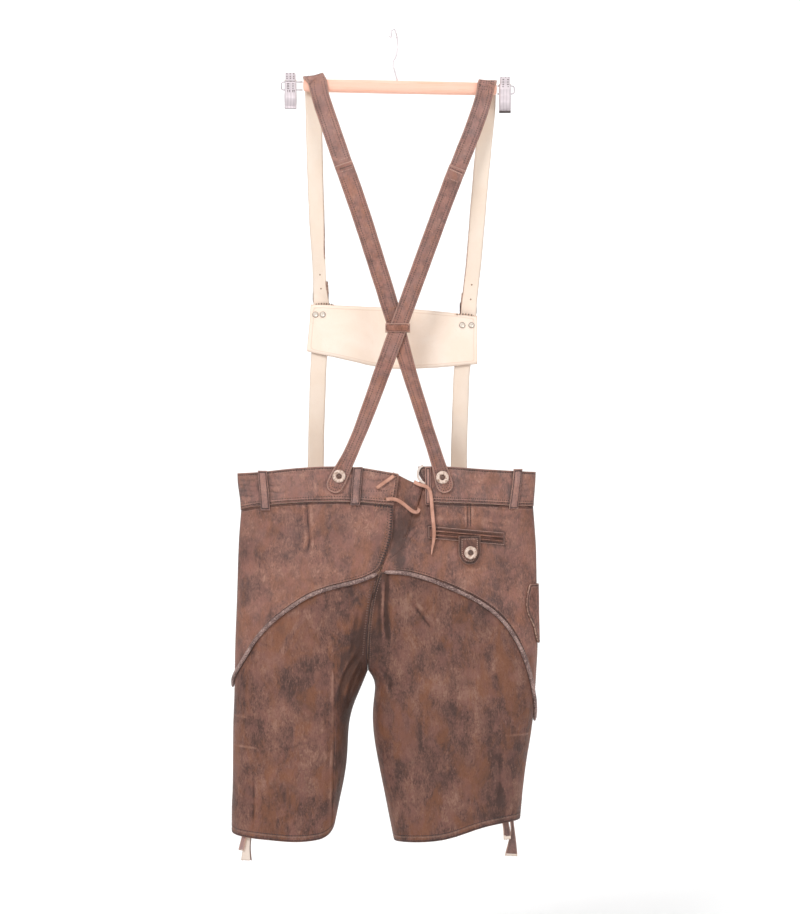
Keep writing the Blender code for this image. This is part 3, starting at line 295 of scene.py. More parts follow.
def relief(piece, creases, out, paint, steps=()):
    # creases move the leather along out (+1 front, -1 back) and paint shade in their troughs and highlights on their
    # ridges; paint, lines or patches, colours it
    narrow = [mark[:2] for mark in [*creases, *paint] if len(mark) < 5] + [(step[0], 1.5) for step in steps]
    for width, reach in ((4.5, 5.5), (2.3, 2.8)):
        refine(piece, [line for line, wide in narrow if wide < width], reach)
    co = points(piece)
    rise = np.zeros(len(co))
    worn = np.zeros(len(co))
    for line, width, height, fade in creases:
        moved = crease(co, line, width, height, fade)
        rise += moved
        # painted shade in a crease's trough, painted highlight on its ridge
        worn += moved * (0.45 if width < 4 else 0.12)
    for line, drop, reach in steps:  # a fold's edge: lower on its right
        off, along, hand = alongLine(co, curved(line))
        ends = np.clip(np.minimum(along, 1 - along) / 0.12, 0, 1)
        low = np.clip(0.5 - 0.5 * hand * off / 1.2, 0, 1) * np.exp(-off / reach) * ends
        rise -= drop * low
        # painted shade on the low side of a fold's edge
        worn -= 0.3 * low * drop * np.exp(-off / 3)
    rise += ripples(co)
    co[:, 1] += out * rise * mm
    setPoints(piece, co)
    for mark in paint:
        worn += patchShare * patch(co, *mark) if len(mark) == 5 else crease(co, *mark, 0.1)
    setAttribute(piece, "tint", np.clip(worn, *tintRange))


def ripples(co):
    # slight unevenness of worn leather, in millimetres
    return np.array([0.55 * noise.noise(Vector((x * 17, y * 17, z * 11))) +
                     0.22 * noise.noise(Vector((x * 60, y * 60, z * 42))) for x, y, z in co])


# finishes

class Wire:
    # a socket that Python's operators add Math nodes to
    def __init__(self, finish, socket):
        self.finish, self.socket = finish, socket

    def maths(self, operation, first, second=0.0, clamp=False):
        return self.finish.node("ShaderNodeMath", {"operation": operation, "use_clamp": clamp}, {0: first, 1: second})

    def __add__(self, other):
        return self.maths("ADD", self, other)

    __radd__ = __add__

    def __sub__(self, other):
        return self.maths("SUBTRACT", self, other)

    def __rsub__(self, other):
        return self.maths("SUBTRACT", other, self)

    def __mul__(self, other):
        return self.maths("MULTIPLY", self, other)

    __rmul__ = __mul__

    def clipped(self):
        return self.maths("ADD", self, 0.0, clamp=True)

    def absolute(self):
        return self.maths("ABSOLUTE", self)

    def rise(self, low, high):
        # 0 below low, 1 above high, smooth between; falls where low is the larger
        values = {"Value": self, "From Min": min(low, high), "From Max": max(low, high)}
        if low > high:
            values.update({"To Min": 1.0, "To Max": 0.0})
        return self.finish.node("ShaderNodeMapRange", {"interpolation_type": "SMOOTHSTEP"}, values)


class Finish:
    def __init__(self, name, **fixed):
        self.material = bpy.data.materials.new(name)
        self.material.use_nodes = True
        self.tree = self.material.node_tree
        self.tree.nodes.clear()
        self.shader = self.tree.nodes.new("ShaderNodeBsdfPrincipled")
        output = self.tree.nodes.new("ShaderNodeOutputMaterial")
        self.tree.links.new(self.shader.outputs[0], output.inputs[0])
        for socket, value in fixed.items():
            self.shader.inputs[socket.replace("_", " ")].default_value = value

    def node(self, kind, settings=None, values=None, out=0):
        made = self.tree.nodes.new(kind)
        for key, value in (settings or {}).items():
            if key == "stops":
                ramp = made.color_ramp
                while len(ramp.elements) < len(value):
                    ramp.elements.new(0.5)
                for element, (at, colour) in zip(ramp.elements, value):
                    element.position, element.color = at, colour
            else:
                setattr(made, key, value)
        for key, value in (values or {}).items():
            if isinstance(value, Wire):
                self.tree.links.new(value.socket, made.inputs[key])
            else:
                made.inputs[key].default_value = value
        return Wire(self, made.outputs[out])

    def place(self, shift=(0, 0, 0), stretch=(1, 1, 1), turn=(0, 0, 0)):
        return self.node("ShaderNodeMapping", None, {
            "Vector": self.node("ShaderNodeTexCoord", out="Object"),
            "Location": shift, "Scale": stretch, "Rotation": turn})

    def noise(self, place, scale, detail=3.0, rough=0.55, distort=0.0):
        return self.node("ShaderNodeTexNoise", None, {
            "Vector": place, "Scale": scale, "Detail": detail, "Roughness": rough, "Distortion": distort})

    def cells(self, place, scale, spread=1.0):
        return self.node("ShaderNodeTexVoronoi", None, {"Vector": place, "Scale": scale, "Randomness": spread})

    def attribute(self, name):
        return self.node("ShaderNodeAttribute", {"attribute_name": name}, out="Fac")

    def coat(self, share, colour, under=None):
        # a colour laid over the one there is
        colours = {0: share, 6: under or self.base, 7: colour}
        self.base = self.node("ShaderNodeMix", {"data_type": "RGBA"}, colours, out=2)

    def use(self, rough, height, strength, depth, **links):
        # its colour, roughness and relief, depth in millimetres
        bump = self.node("ShaderNodeBump", None, {"Height": height, "Strength": strength, "Distance": depth * mm})
        for socket, wire in dict(Base_Color=self.base, Roughness=rough.clipped(), Normal=bump, **links).items():
            self.tree.links.new(wire.socket, self.shader.inputs[socket.replace("_", " ")])
        return self.material


def toned(tone):
    # screen colours made lighter or darker
    return lambda red, green, blue: rgb(red * tone, green * tone, blue * tone)


def leather(name, shift, tone, warm, dark, streaky=0.5, tinted=False, lines=(), size=1.0, hem=False,
            edge=0.55, shade=0.34, pale=1.2, calm=1.0, cool=0.0):
    # worn nubuck: clouded brown with grey patches, streaks, scuffs, a fine grain and paler cut edges, plus painted
    # shade and highlights from the tint, beside cut edges and on hem and stitched ridges
    f = Finish(name, Sheen_Weight=0.05, Sheen_Roughness=0.5, Sheen_Tint=rgb(235, 205, 190), Specular_IOR_Level=0.3)
    hue = toned(tone)
    at = f.place(shift)
    cloud = f.noise(at, 30 / size, 6, 0.58, 0.45)
    broad = f.noise(at, 9 / size, 3, 0.55, 0.3)
    streak = f.noise(f.place(shift, (1, 1, 0.42)), 58 / size, 6, 0.66, 0.5)
    fine = f.noise(at, 300, 3, 0.7)
    nap = f.noise(f.place(shift, (1, 1, 0.34), (0, 0.5, 0)), 250, 3, 0.6, 2.6)
    comb = f.noise(f.place(shift, (1, 1, 0.40), (0, -0.75, 0)), 190, 3, 0.6, 2.6)
    grain = (fine - 0.5) * 0.6 + (nap - 0.5) * 1.2 + (comb - 0.5) * 1.1
    value = ((cloud - 0.5) * 1.75 + (broad - 0.5) * 1.2 + (streak - 0.5) * (1.5 * streaky) + grain * 0.95) * calm + 0.48
    # the tint shifts the colour: painted shade and highlights together with the leather's own darker and lighter
    # patches
    if tinted:
        value = value + f.attribute("tint") * (cloud * 0.7 + 0.28)
    stops = [(0.02, hue(88, 60, 53)), (0.27, hue(114, 78, 68)), (0.50, hue(140, 96, 83)),
             (0.74, hue(159, 111, 94)), (1.0, hue(180, 134, 115))]
    f.base = f.node("ShaderNodeValToRGB", {"stops": stops}, {"Fac": value})
    amber = f.noise(f.place((shift[0] - 1.7, shift[1], shift[2] + 4.1), (1, 1, 0.5)), 30 / size, 6, 0.66, 0.6)
    f.coat(amber.rise(0.46, 0.64) * warm, hue(156, 97, 66))
    murk = f.noise(f.place((shift[0] + 3.7, shift[1], shift[2] - 2.2)), 34 / size, 6, 0.6, 0.6)
    f.coat(murk.rise(0.50, 0.72) * (0.75 * dark), hue(97, 69, 63))
    rosy = f.noise(f.place((shift[0] - 5.1, shift[1], shift[2] + 1.3), (1, 1, 0.7)), 46 / size, 4, 0.6, 0.5)
    f.coat(rosy.rise(0.48, 0.66) * 0.5, hue(158, 106, 94))
    f.coat(grain.rise(0.16, 0.6) * 0.38, hue(196, 156, 140))
    f.coat((0 - grain).rise(0.14, 0.6) * 0.40, hue(66, 46, 42))
    # strongly negative tint darkens to deep brown: painted shade in hollows and folds
    if tinted:
        f.coat((0 - f.attribute("tint")).rise(0.25, 1.5) * 0.75, hue(78, 49, 39))
    if cool:
        f.coat(f.noise(at, 40, 2, 0.5) * (1.4 * cool), hue(160, 145, 144))
    wrinkle = f.noise(f.place(shift, (1, 1, 0.55), (0, 0.6, 0)), 62 / size, 4, 0.62, 1.2)
    height = f.noise(at, 105, 6, 0.7) + wrinkle * (2.4 * calm) + fine * 0.45 + nap * 0.3 + comb * 0.3
    height = height + f.cells(at, 620) * 0.16 + value * 0.1
    if hem:  # a stitched line above it and a pale ridge below that
        low = f.attribute("hem")
        f.coat((low - 9.5).absolute().rise(1.0, 0.3) * 0.5, hue(60, 44, 43))
        # the pale ridge is a painted highlight on the turned hem
        f.coat((low - 7.2).absolute().rise(1.9, 0.3) * fine.rise(0.3, 0.6) * 0.45, hue(190, 152, 136))
        height = height + low.rise(10.5, 8.0) * 0.9
    rim = f.attribute("rim")
    worn = rim + (fine - 0.5) * 1.6
    f.coat(worn.rise(pale, 0.2) * edge, hue(198, 160, 146))
    # painted shade: a dark band just inside the cut edge, as in the crevice by the piping and at the belt loops' sides
    f.coat(worn.rise(pale - 0.4, pale + 0.4) * worn.rise(pale + 2.0, pale + 0.6) * shade, hue(66, 48, 47))
    height = height + rim.rise(0.0, 1.3) * 0.6
    for far in lines:  # millimetres in from the edge
        groove = (rim - far).absolute().rise(0.8, 0.2)
        dots = f.cells(at, 330, 0.7).rise(0.72, 0.34)
        f.coat(groove * dots * 0.6, hue(66, 47, 45))
        # a pale line beside the stitched groove: painted highlight on its raised ridge
        ridge = (rim - far - 1.5).absolute().rise(1.0, 0.1) * fine.rise(0.3, 0.6)
        f.coat(ridge * 0.28, hue(196, 160, 144))
        height = height + (rim - far).absolute().rise(2.6, 1.0) * 0.4 - groove * 1.1
    return f.use(0.62 + (cloud - 0.5) * 0.4 + (fine - 0.5) * 0.3, height, 1.0, 0.9)


def flesh(name, shift=(0, 0, 0), tone=1.0, pink=0.3, lines=(), yellow=0.0):
    # undyed suede side: cream, cloudy, with short fibres
    f = Finish(name, Sheen_Weight=0.3, Sheen_Roughness=0.6, Sheen_Tint=rgb(255, 245, 235), Specular_IOR_Level=0.15)
    hue = toned(tone)
    at = f.place(shift)
    cloud = f.noise(at, 16, 5, 0.6, 0.5)
    fibre = f.noise(f.place(shift, (1, 1, 0.45)), 420, 4, 0.7)
    f.coat(cloud.rise(0.32, 0.68), hue(246, 230, 220), hue(240, 219, 205))
    blush = f.noise(f.place((shift[0] - 2, 1.1, shift[2])), 9, 3, 0.5)
    f.coat(blush.rise(0.42, 0.72) * pink, hue(246, 218, 200))
    f.coat(yellow, hue(238, 220, 196))
    f.coat(fibre.rise(0.56, 0.8) * 0.35, hue(222, 196, 174))
    f.coat(f.noise(at, 70, 3, 0.5).rise(0.70, 0.78) * 0.35, hue(214, 178, 152))
    height = fibre * 0.7 + f.noise(at, 95, 3, 0.6) * 0.6
    rim = f.attribute("rim")
    f.coat((rim + (fibre - 0.5) * 2).rise(1.3, 0.1) * 0.55, hue(206, 168, 142))
    for far in lines:
        groove = (rim - far).absolute().rise(0.9, 0.2)
        f.coat(groove * 0.35, hue(205, 172, 150))
        height = height - groove * 0.8
    return f.use(0.82 + (fibre - 0.5) * 0.2, height, 0.6, 0.45)


def cutEdge(name, dark=rgb(112, 82, 74), pale=rgb(205, 172, 152), share=0.4):
    # the cut through the leather: a pale core with burnished patches
    f = Finish(name, Specular_IOR_Level=0.2)
    at = f.place()
    worn = f.noise(at, 210, 4, 0.7)
    f.coat(worn.rise(share, share + 0.25), pale, dark)
    fibre = f.noise(at, 900, 2, 0.6)
    f.coat(fibre.rise(0.5, 0.8) * 0.4, rgb(86, 64, 58))
    return f.use(0.75 + (worn - 0.5) * 0.2, fibre, 0.6, 0.3)


def plain(name, dark, lit, grain=(900, 2, 0.5), change=(0.4, 0.7), rough=(0.85, 0.2), bump=(0.3, 0.1), **fixed):
    # two colours in one noise: thread, rubber, the walls of holes and the painted shade inside holes
    f = Finish(name, **fixed)
    dust = f.noise(f.place(), *grain)
    f.coat(dust.rise(*change), lit, dark)
    return f.use(rough[0] + (dust - 0.5) * rough[1], dust, *bump)


def thread(name, dark, lit):
    return plain(name, dark, lit, (1500, 2, 0.5), (0.4, 0.65), (0.6, 0.3), (0.5, 0.15), Sheen_Weight=0.2,
                 Specular_IOR_Level=0.35)


def chrome(name, colour=rgb(226, 218, 221), rough=0.3, worn=0.0, metal=0.6, ribs=False):
    f = Finish(name, Metallic=metal)
    at = f.place()
    drawn = f.noise(f.place(stretch=(1, 1, 0.12)), 900, 2, 0.5)
    smear = f.noise(at, 60, 3, 0.6)
    f.coat(smear.rise(0.45, 0.75) * (0.15 + worn), rgb(160, 148, 146), colour)
    # painted shade in the valleys between the ribs
    if ribs:
        f.coat(f.attribute("rib").rise(0.55, 0.1) * 0.6, rgb(112, 100, 106))
    return f.use(rough + (drawn - 0.5) * 0.16 + (smear - 0.5) * 0.12, drawn, 0.12, 0.05)


# sewing

def rimRow(piece, inset, want):
    # rows of points that run inside the outside's edge, inset millimetres from it
    bm = bmesh.new()
    bm.from_mesh(piece.data)
    nextTo = {}
    for edge in bm.edges:
        inner = [f for f in edge.link_faces if f.material_index == 0]
        if len(inner) == 1:
            for vert in edge.verts:
                nextTo.setdefault(vert, []).append((edge, inner[0]))
    rows, used = [], set()
    for start in list(nextTo):
        if start in used:
            continue
        loop, vert, last = [], start, None
        while vert is not None and vert not in used:
            used.add(vert)
            inward = Vector()
            for edge, face in nextTo[vert]:
                mid = (edge.verts[0].co + edge.verts[1].co) / 2
                along = (edge.verts[1].co - edge.verts[0].co).normalized()
                step = face.calc_center_median() - mid
                inward += (step - along * step.dot(along)).normalized()
            loop.append((vert.co.copy(), inward.normalized()))
            onward = [(e, e.other_vert(vert)) for e, _ in nextTo[vert] if e is not last]
            last, vert = next((pair for pair in onward if pair[1] not in used), (None, None))
        rows.append(loop)
    bm.free()
    made = []
    for loop in rows:
        if len(loop) < 6:  # too short to be an edge
            continue
        tree = KDTree(len(loop) * 4)
        for k, (co, _) in enumerate(loop):
            following = loop[(k + 1) % len(loop)][0]
            for part in range(4):
                tree.insert(co.lerp(following, part / 4), k)
        tree.balance()
        run = []
        for co, inward in loop + loop[:1]:
            p = co + inward * (inset * mm)
            wanted = want is None or want(p / mm)
            if wanted and tree.find(p)[2] > inset * mm * 0.9:
                run.append(p)
            elif run and not wanted:
                made.append(run)
                run = []
        made.append(run)
    return [r for r in made if len(r) > 2]


def castRow(carriers, line, step=2.0):
    # points of (x, z) in millimetres put down on pieces, seen from the back
    tree = treeOf(carriers)
    run = curved(line)
    row = []
    for a, b in zip(run, run[1:]):
        count = max(int(math.dist(a, b) / step), 1)
        for k in range(count):
            x, z = (a[i] + (b[i] - a[i]) * k / count for i in (0, 1))
            hit = tree.ray_cast(Vector((x * mm, -0.4, z * mm)), Vector((0, 1, 0)))[0]
            if hit is not None:
                row.append(hit)
    return [row] if len(row) > 2 else []


def swept(path, across, thick, segments=12, ends=0.6):
    # a bmesh rod of oval section along a path in millimetres
    bm = bmesh.new()
    run = [Vector(p) for p in curved(path, 5)]
    rings = []
    for k, spot in enumerate(run):
        along = (run[min(k + 1, len(run) - 1)] - run[max(k - 1, 0)]).normalized()
        depth = Vector((0, 1, 0)) - along * along.y
        side = along.cross(depth.normalized())
        slim = ends if k in (0, len(run) - 1) else 1.0
        axes = side * (across / 2 * slim), depth.normalized() * (thick / 2 * slim), along
        place = Matrix.Scale(mm, 4) @ Matrix.Translation(spot) @ Matrix(axes).transposed().to_4x4()
        rings.append(bmesh.ops.create_circle(bm, segments=segments, radius=1.0, cap_ends=False, matrix=place)["verts"])
    for first, second in zip(rings, rings[1:]):
        edges = [e for e in bm.edges if all(v in first or v in second for v in e.verts)]
        bmesh.ops.bridge_loops(bm, edges=[e for e in edges if not e.link_faces or len(e.link_faces) == 1])
    bmesh.ops.holes_fill(bm, edges=bm.edges, sides=segments)
    bmesh.ops.recalc_face_normals(bm, faces=bm.faces)
    return bm


def spaced(run, pitch):
    # evenly spaced (point, direction) along a run of points
    far = [0.0]
    for a, b in zip(run, run[1:]):
        far.append(far[-1] + (b - a).length)
    count = int(far[-1] / pitch)
    made, k = [], 0
    for n in range(count):
        at = (n + 0.5) * far[-1] / count
        while far[k + 1] < at:
            k += 1
        share = (at - far[k]) / max(far[k + 1] - far[k], 1e-9)
        before, after = run[max(k - 1, 0)], run[min(k + 2, len(run) - 1)]
        made.append((run[k].lerp(run[k + 1], share), (after - before).normalized()))
    return made


def eased(run, times=2):
    for _ in range(times):
        run = run[:1] + [(a + b * 2 + c) / 4 for a, b, c in zip(run, run[1:], run[2:])] + run[-1:]
    return run


def sew(name, carriers, rows, finish, gauge, tall=0.55, reach=4):
    # small rounded stitches along rows, lying on the pieces that carry them
    length, width, gap, across = gauge
    tree = treeOf(carriers)
    one = bmesh.new()
    bmesh.ops.create_icosphere(one, subdivisions=1, radius=1.0)
    shape = bpy.data.meshes.new(name + "Shape")
    one.to_mesh(shape)
    size = len(one.verts)
    one.free()
    places = []
    for run in rows:
        for p, along in spaced(eased(run), ((width if across else length) + gap) * mm):
            near, normal, _, _ = tree.find_nearest(p)
            if near is None or (near - p).length > reach * mm:
                continue
            along = (along - normal * along.dot(normal)).normalized()
            side = normal.cross(along)
            if across:
                along, side = side, along
            shake = rng.uniform(0.9, 1.08)
            places.append(Matrix([(along[k] * length * shake / 2, side[k] * width / 2, normal[k] * tall / 2,
                                   near[k] / mm + normal[k] * tall * 0.1) for k in range(3)] + [(0, 0, 0, 1)]))
    bm = bmesh.new()
    for _ in places:
        bm.from_mesh(shape)
    bm.verts.ensure_lookup_table()
    for k, place in enumerate(places):
        for vert in bm.verts[k * size:(k + 1) * size]:
            vert.co = (place @ vert.co) * mm
    bpy.data.meshes.remove(shape)
    piece = toPiece(name, bm, [finish])
    return piece


# camera and laces

view = {"eye": (0.009, -3.0, -0.6405), "height": 1.371, "sensor": 36.0, "far": 40}
eye = bpy.data.objects.new("camera", bpy.data.cameras.new("camera"))
scene.collection.objects.link(eye)
eye.location = view["eye"]
eye.rotation_euler = (math.pi / 2, 0, 0)
eye.data.lens = view["sensor"] * -view["eye"][1] / view["height"]
eye.data.clip_end = view["far"]
scene.camera = eye

tan = Finish("laceTan", Sheen_Weight=0.25, Sheen_Roughness=0.5, Specular_IOR_Level=0.25)
at = tan.place()
cloud = tan.noise(at, 60, 4, 0.6)
fibre = tan.noise(at, 700, 3, 0.7)
tan.coat(cloud.rise(0.35, 0.7), rgb(202, 153, 134), rgb(170, 122, 103))
tan.coat(fibre.rise(0.5, 0.75) * 0.5, rgb(136, 90, 70))
tan.coat((tan.attribute("rim") + (fibre - 0.5)).rise(1.0, 0.1) * 0.6, rgb(120, 78, 61))
laceTan = tan.use(0.7 + (fibre - 0.5) * 0.2, fibre * 0.6 + cloud, 0.6, 0.4)
laces = {
    "slack": {"node": "lace_slack", "length": 0.066, "far": "object", "lay": "hanging", "route": [
        (-0.01123, -0.04965, -0.70327), (-0.00402, -0.05042, -0.70221), (0.00351, -0.05143, -0.70323),
        (0.01005, -0.05249, -0.70657), (0.0171, -0.05337, -0.71201), (0.02414, -0.05346, -0.71801),
        (0.02963, -0.05243, -0.72162), (0.03406, -0.04981, -0.72216), (0.03685, -0.0444, -0.71933),
        (0.03744, -0.03898, -0.71526)]},
    "end": {"node": "lace_end", "length": 0.128, "far": "bare", "lay": "hanging", "route": [
        (0.02944, -0.04234, -0.67719), (0.03542, -0.0424, -0.68019), (0.04045, -0.04338, -0.68211),
        (0.04352, -0.04773, -0.68277), (0.04647, -0.05075, -0.68334), (0.0513, -0.05063, -0.68606),
        (0.05359, -0.05031, -0.6916), (0.05489, -0.05033, -0.69965), (0.0559, -0.05105, -0.71161),
        (0.05709, -0.05203, -0.72758), (0.05855, -0.05392, -0.7415), (0.05926, -0.05497, -0.75251),
        (0.05841, -0.05464, -0.76436), (0.05647, -0.05341, -0.7748), (0.05538, -0.05371, -0.78487)]},
}
tip = {"start": -0.757, "length": 0.028, "slimmer": 0.7}


def thong(name, node):
    bm = cadCopy(node)
    markSides(bm, towardsBack, 50)
    piece = smoothed(toPiece(name, bm, [laceTan] * 3), 2)
    piece.data.set_sharp_from_angle(angle=math.radians(55))
    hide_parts(node)
    rimDistance(piece)
    return piece


for key, lace in laces.items():
    made = thong("lace" + key.capitalize(), lace["node"])
    if key == "end":  # it narrows to its tip
        co = points(made)
        low = np.clip((tip["start"] - co[:, 2]) / tip["length"], 0, 1)
        middle = np.interp(-co[:, 2], [-z for x, y, z in lace["route"]], [x for x, y, z in lace["route"]])
        co[:, 0] -= (co[:, 0] - middle) * tip["slimmer"] * low
        setPoints(made, co)
thong("laceStitch", "lace_stitch")
print("camera and laces made")


# leather panels of the breeches

fleshSide = flesh("fleshSide")
cutBrown = cutEdge("cutBrown")
# the piping's edges get painted shade in the crevice beside it
seamEdge = dict(edge=0.15, shade=0.8)  # edges that run into the piping are dark
yokeLook = dict(cool=0.1, lines=(3.4,), **seamEdge)
legLook = dict(hem=True, **seamEdge)
panels = {  # node, side (-1 back, 1 front), flat size, area, leather
    "backYokeLeft": ("back_yoke_left", -1, (0.245, 0.270), 0.0395, ((1.3, 0.4, 2.2), 0.87, 0.5, 0.5), yokeLook),
    "backYokeRight": ("back_yoke_right", -1, (0.240, 0.320), 0.0365, ((4.1, 1.4, 0.7), 0.88, 0.5, 0.5), yokeLook),
    "backLegLeft": ("back_leg_left", -1, (0.270, 0.400), 0.081, ((7.7, 2.0, 5.1), 0.775, 0.7, 0.6, 0.9), legLook),
    "backLegRight": ("back_leg_right", -1, (0.300, 0.410), 0.0965, ((2.9, 6.0, 8.3), 0.745, 0.7, 0.55, 1.0), legLook),
    "frontLeft": ("front_left", 1, (0.270, 0.500), 0.112, ((5.5, 3.0, 1.9), 0.80, 0.5, 0.5, 0.7), dict(hem=True)),
    "frontRight": ("front_right", 1, (0.290, 0.500), 0.130, ((9.1, 5.0, 3.3), 0.78, 0.5, 0.5, 0.7), dict(hem=True)),
}
creases = {  # (points across and up in mm, half width, height, share of its length that fades)
    "backYokeLeft": [
        ([(-134.5, -706), (-133.5, -735), (-131, -762), (-135, -782)], 2.2, 1.7, 0.15),
        ([(-129, -704), (-127.5, -735), (-125, -766), (-130, -786)], 1.1, -1.4, 0.08),
        ([(-123.5, -706), (-122.5, -735), (-119.5, -766), (-124, -792)], 2.2, 1.7, 0.15),
        ([(-112, -790), (-118, -822), (-132, -850)], 5, 0.9, 0.35),
        ([(-205, -745), (-190, -790), (-196, -850)], 9, 1.1, 0.4),
        ([(-150, -800), (-168, -838), (-196, -868)], 7, -0.9, 0.4),
        ([(-60, -750), (-44, -775), (-38, -800)], 7, 0.8, 0.4)],
    "backYokeRight": [
        ([(58, -722), (45, -740), (38, -758), (20, -784)], 6, -1.2, 0.3),
        ([(64, -730), (78, -733), (110, -731), (150, -733)], 3.0, 0.7, 0.3),
        ([(113, -706), (113.2, -746)], 1.2, -1.0, 0.05), ([(109.2, -706), (109.4, -746)], 1.2, -1.0, 0.05),
        ([(106, -706), (106.2, -746)], 1.6, 0.8, 0.05), ([(116, -706), (116.2, -746)], 1.6, 0.8, 0.05),
        ([(58, -712), (100, -713), (150, -711), (196, -713)], 2.2, -0.9, 0.1),
        ([(126, -724), (140, -736), (166, -734), (180, -742)], 2.4, 1.0, 0.25),
        ([(132, -733), (150, -741), (170, -741)], 1.8, -0.9, 0.25),
        ([(60, -800), (90, -806), (128, -800)], 8, -0.9, 0.4), ([(170, -745), (185, -790), (186, -850)], 9, 1.0, 0.4),
        ([(150, -770), (166, -800), (160, -830)], 6, -0.8, 0.4)],
    "backLegLeft": [
        ([(-92, -900), (-90, -960), (-91, -1060), (-95, -1180)], 2.8, 1.9, 0.2),
        ([(-49, -850), (-55, -880), (-66, -945)], 2.4, -1.4, 0.3),
        ([(-47, -826), (-56, -872), (-66, -930), (-68, -985)], 4, 1.5, 0.3),
        ([(-40, -850), (-48, -895), (-59, -940)], 3.6, -1.6, 0.3),
        ([(-44, -900), (-56, -925), (-72, -952), (-84, -985)], 3.0, 2.0, 0.25),
        ([(-42, -915), (-56, -938), (-72, -962), (-82, -1000)], 2.6, -2.6, 0.25),
        ([(-42, -930), (-56, -952), (-68, -978), (-76, -1012)], 2.4, 2.2, 0.25),
        ([(-44, -945), (-56, -964), (-66, -992), (-72, -1022)], 2.2, -2.4, 0.25),
        ([(-50, -958), (-58, -978), (-64, -1005)], 2.2, 1.8, 0.25),
        ([(-207, -1095), (-206.5, -1150), (-208, -1192)], 1.4, -1.0, 0.25),
        ([(-203, -1100), (-202.5, -1150), (-203, -1190)], 2.6, 1.0, 0.3),
        ([(-241, -1068), (-222, -1067.5), (-200, -1069)], 1.6, 0.9, 0.2),
        ([(-240, -1024), (-226, -1023), (-216, -1024)], 1.8, 0.7, 0.2),
        ([(-170, -900), (-150, -960), (-160, -1040)], 12, 1.2, 0.4),
        ([(-215, -960), (-196, -1010), (-190, -1060)], 9, -1.1, 0.4),
        ([(-120, -1010), (-130, -1070), (-118, -1140)], 10, 1.1, 0.4),
        ([(-150, -1130), (-130, -1170), (-100, -1180)], 8, -0.8, 0.4)],
    "backLegRight": [
        ([(-15, -822), (-16.5, -870), (-15, -912)], 2.0, 1.5, 0.3),
        ([(-9, -804), (-10.3, -839), (-11, -877), (-8, -912)], 2.4, -2.4, 0.08),
        ([(-2, -822), (-1, -870), (-3, -925), (4, -955)], 3.0, 1.6, 0.3),
        ([(17, -858), (24, -845), (34, -843)], 3.0, 1.1, 0.3), ([(24, -850), (38, -871), (58, -896)], 2.0, -1.5, 0.2),
        ([(30, -850), (45, -869), (62, -890)], 2.6, 1.9, 0.15), ([(20, -856), (33, -876), (50, -898)], 3.0, 0.9, 0.2),
        ([(-30, -950), (-16, -958), (-6, -976), (-12, -1000)], 3.0, -1.5, 0.3),
        ([(-24, -972), (-10, -985), (-6, -1010)], 3.0, 1.2, 0.3),
        ([(156.5, -1055), (157, -1105), (155, -1160)], 2.4, -1.3, 0.25),
        ([(163, -1060), (163, -1110), (161, -1165)], 4.0, 1.1, 0.3),
        ([(162, -1051), (185, -1050.5), (206, -1051)], 1.6, 0.9, 0.2),
        ([(120, -960), (126, -1030), (118, -1100)], 11, 1.1, 0.4),
        ([(60, -920), (72, -985), (66, -1050)], 12, 1.2, 0.4),
        ([(20, -1000), (12, -1070), (26, -1140)], 10, -1.0, 0.4),
        ([(90, -1120), (104, -1160), (98, -1190)], 7, 1.0, 0.4),
        ([(60, -900), (84, -930), (92, -960)], 6, -0.9, 0.4)],
    "frontLeft": [
        ([(-30, -880), (-58, -930), (-66, -990)], 4, -1.6, 0.3),
        ([(-40, -872), (-70, -925), (-78, -990)], 4, 1.5, 0.3),
        ([(-130, -900), (-118, -980), (-128, -1080)], 12, 1.3, 0.4),
        ([(-200, -900), (-186, -990), (-196, -1080)], 11, -1.1, 0.4),
        ([(-205, -1100), (-205, -1190)], 1.9, -1.4, 0.25), ([(-160, -740), (-170, -800), (-150, -860)], 9, 0.9, 0.4),
        ([(-60, -1040), (-76, -1100), (-70, -1170)], 9, 1.0, 0.4)],
    "frontRight": [
        ([(18, -870), (28, -925), (22, -990)], 4, -1.6, 0.3), ([(28, -868), (42, -920), (38, -990)], 4, 1.5, 0.3),
        ([(110, -900), (98, -980), (112, -1080)], 12, 1.3, 0.4),
        ([(165, -900), (150, -990), (160, -1080)], 11, -1.1, 0.4), ([(168, -1080), (169, -1180)], 1.9, -1.4, 0.25),
        ([(140, -740), (150, -800), (136, -860)], 9, 0.9, 0.4),
        ([(40, -1040), (52, -1100), (44, -1170)], 9, 1.0, 0.4)],
}
# painted shade of the soft hollow where the slit closes, with one painted highlight strip beside the slit (the positive
# amount)
hollowShade = [  # soft dark hollow where the slit closes: across, height, half widths, amount
    (6, -748, 15, 32, -1.1), (25, -735, 11, 15, -0.7), (9, -789, 10, 22, -0.8), (3, -722, 2.6, 16, 0.4),
    (30, -716, 8, 16, -0.4), (41, -786, 6, 9, -0.35), (46, -700, 4, 12, -0.6), (1, -690, 2.4, 16, -0.7),
    (-3, -724, 2.2, 26, -0.8)]
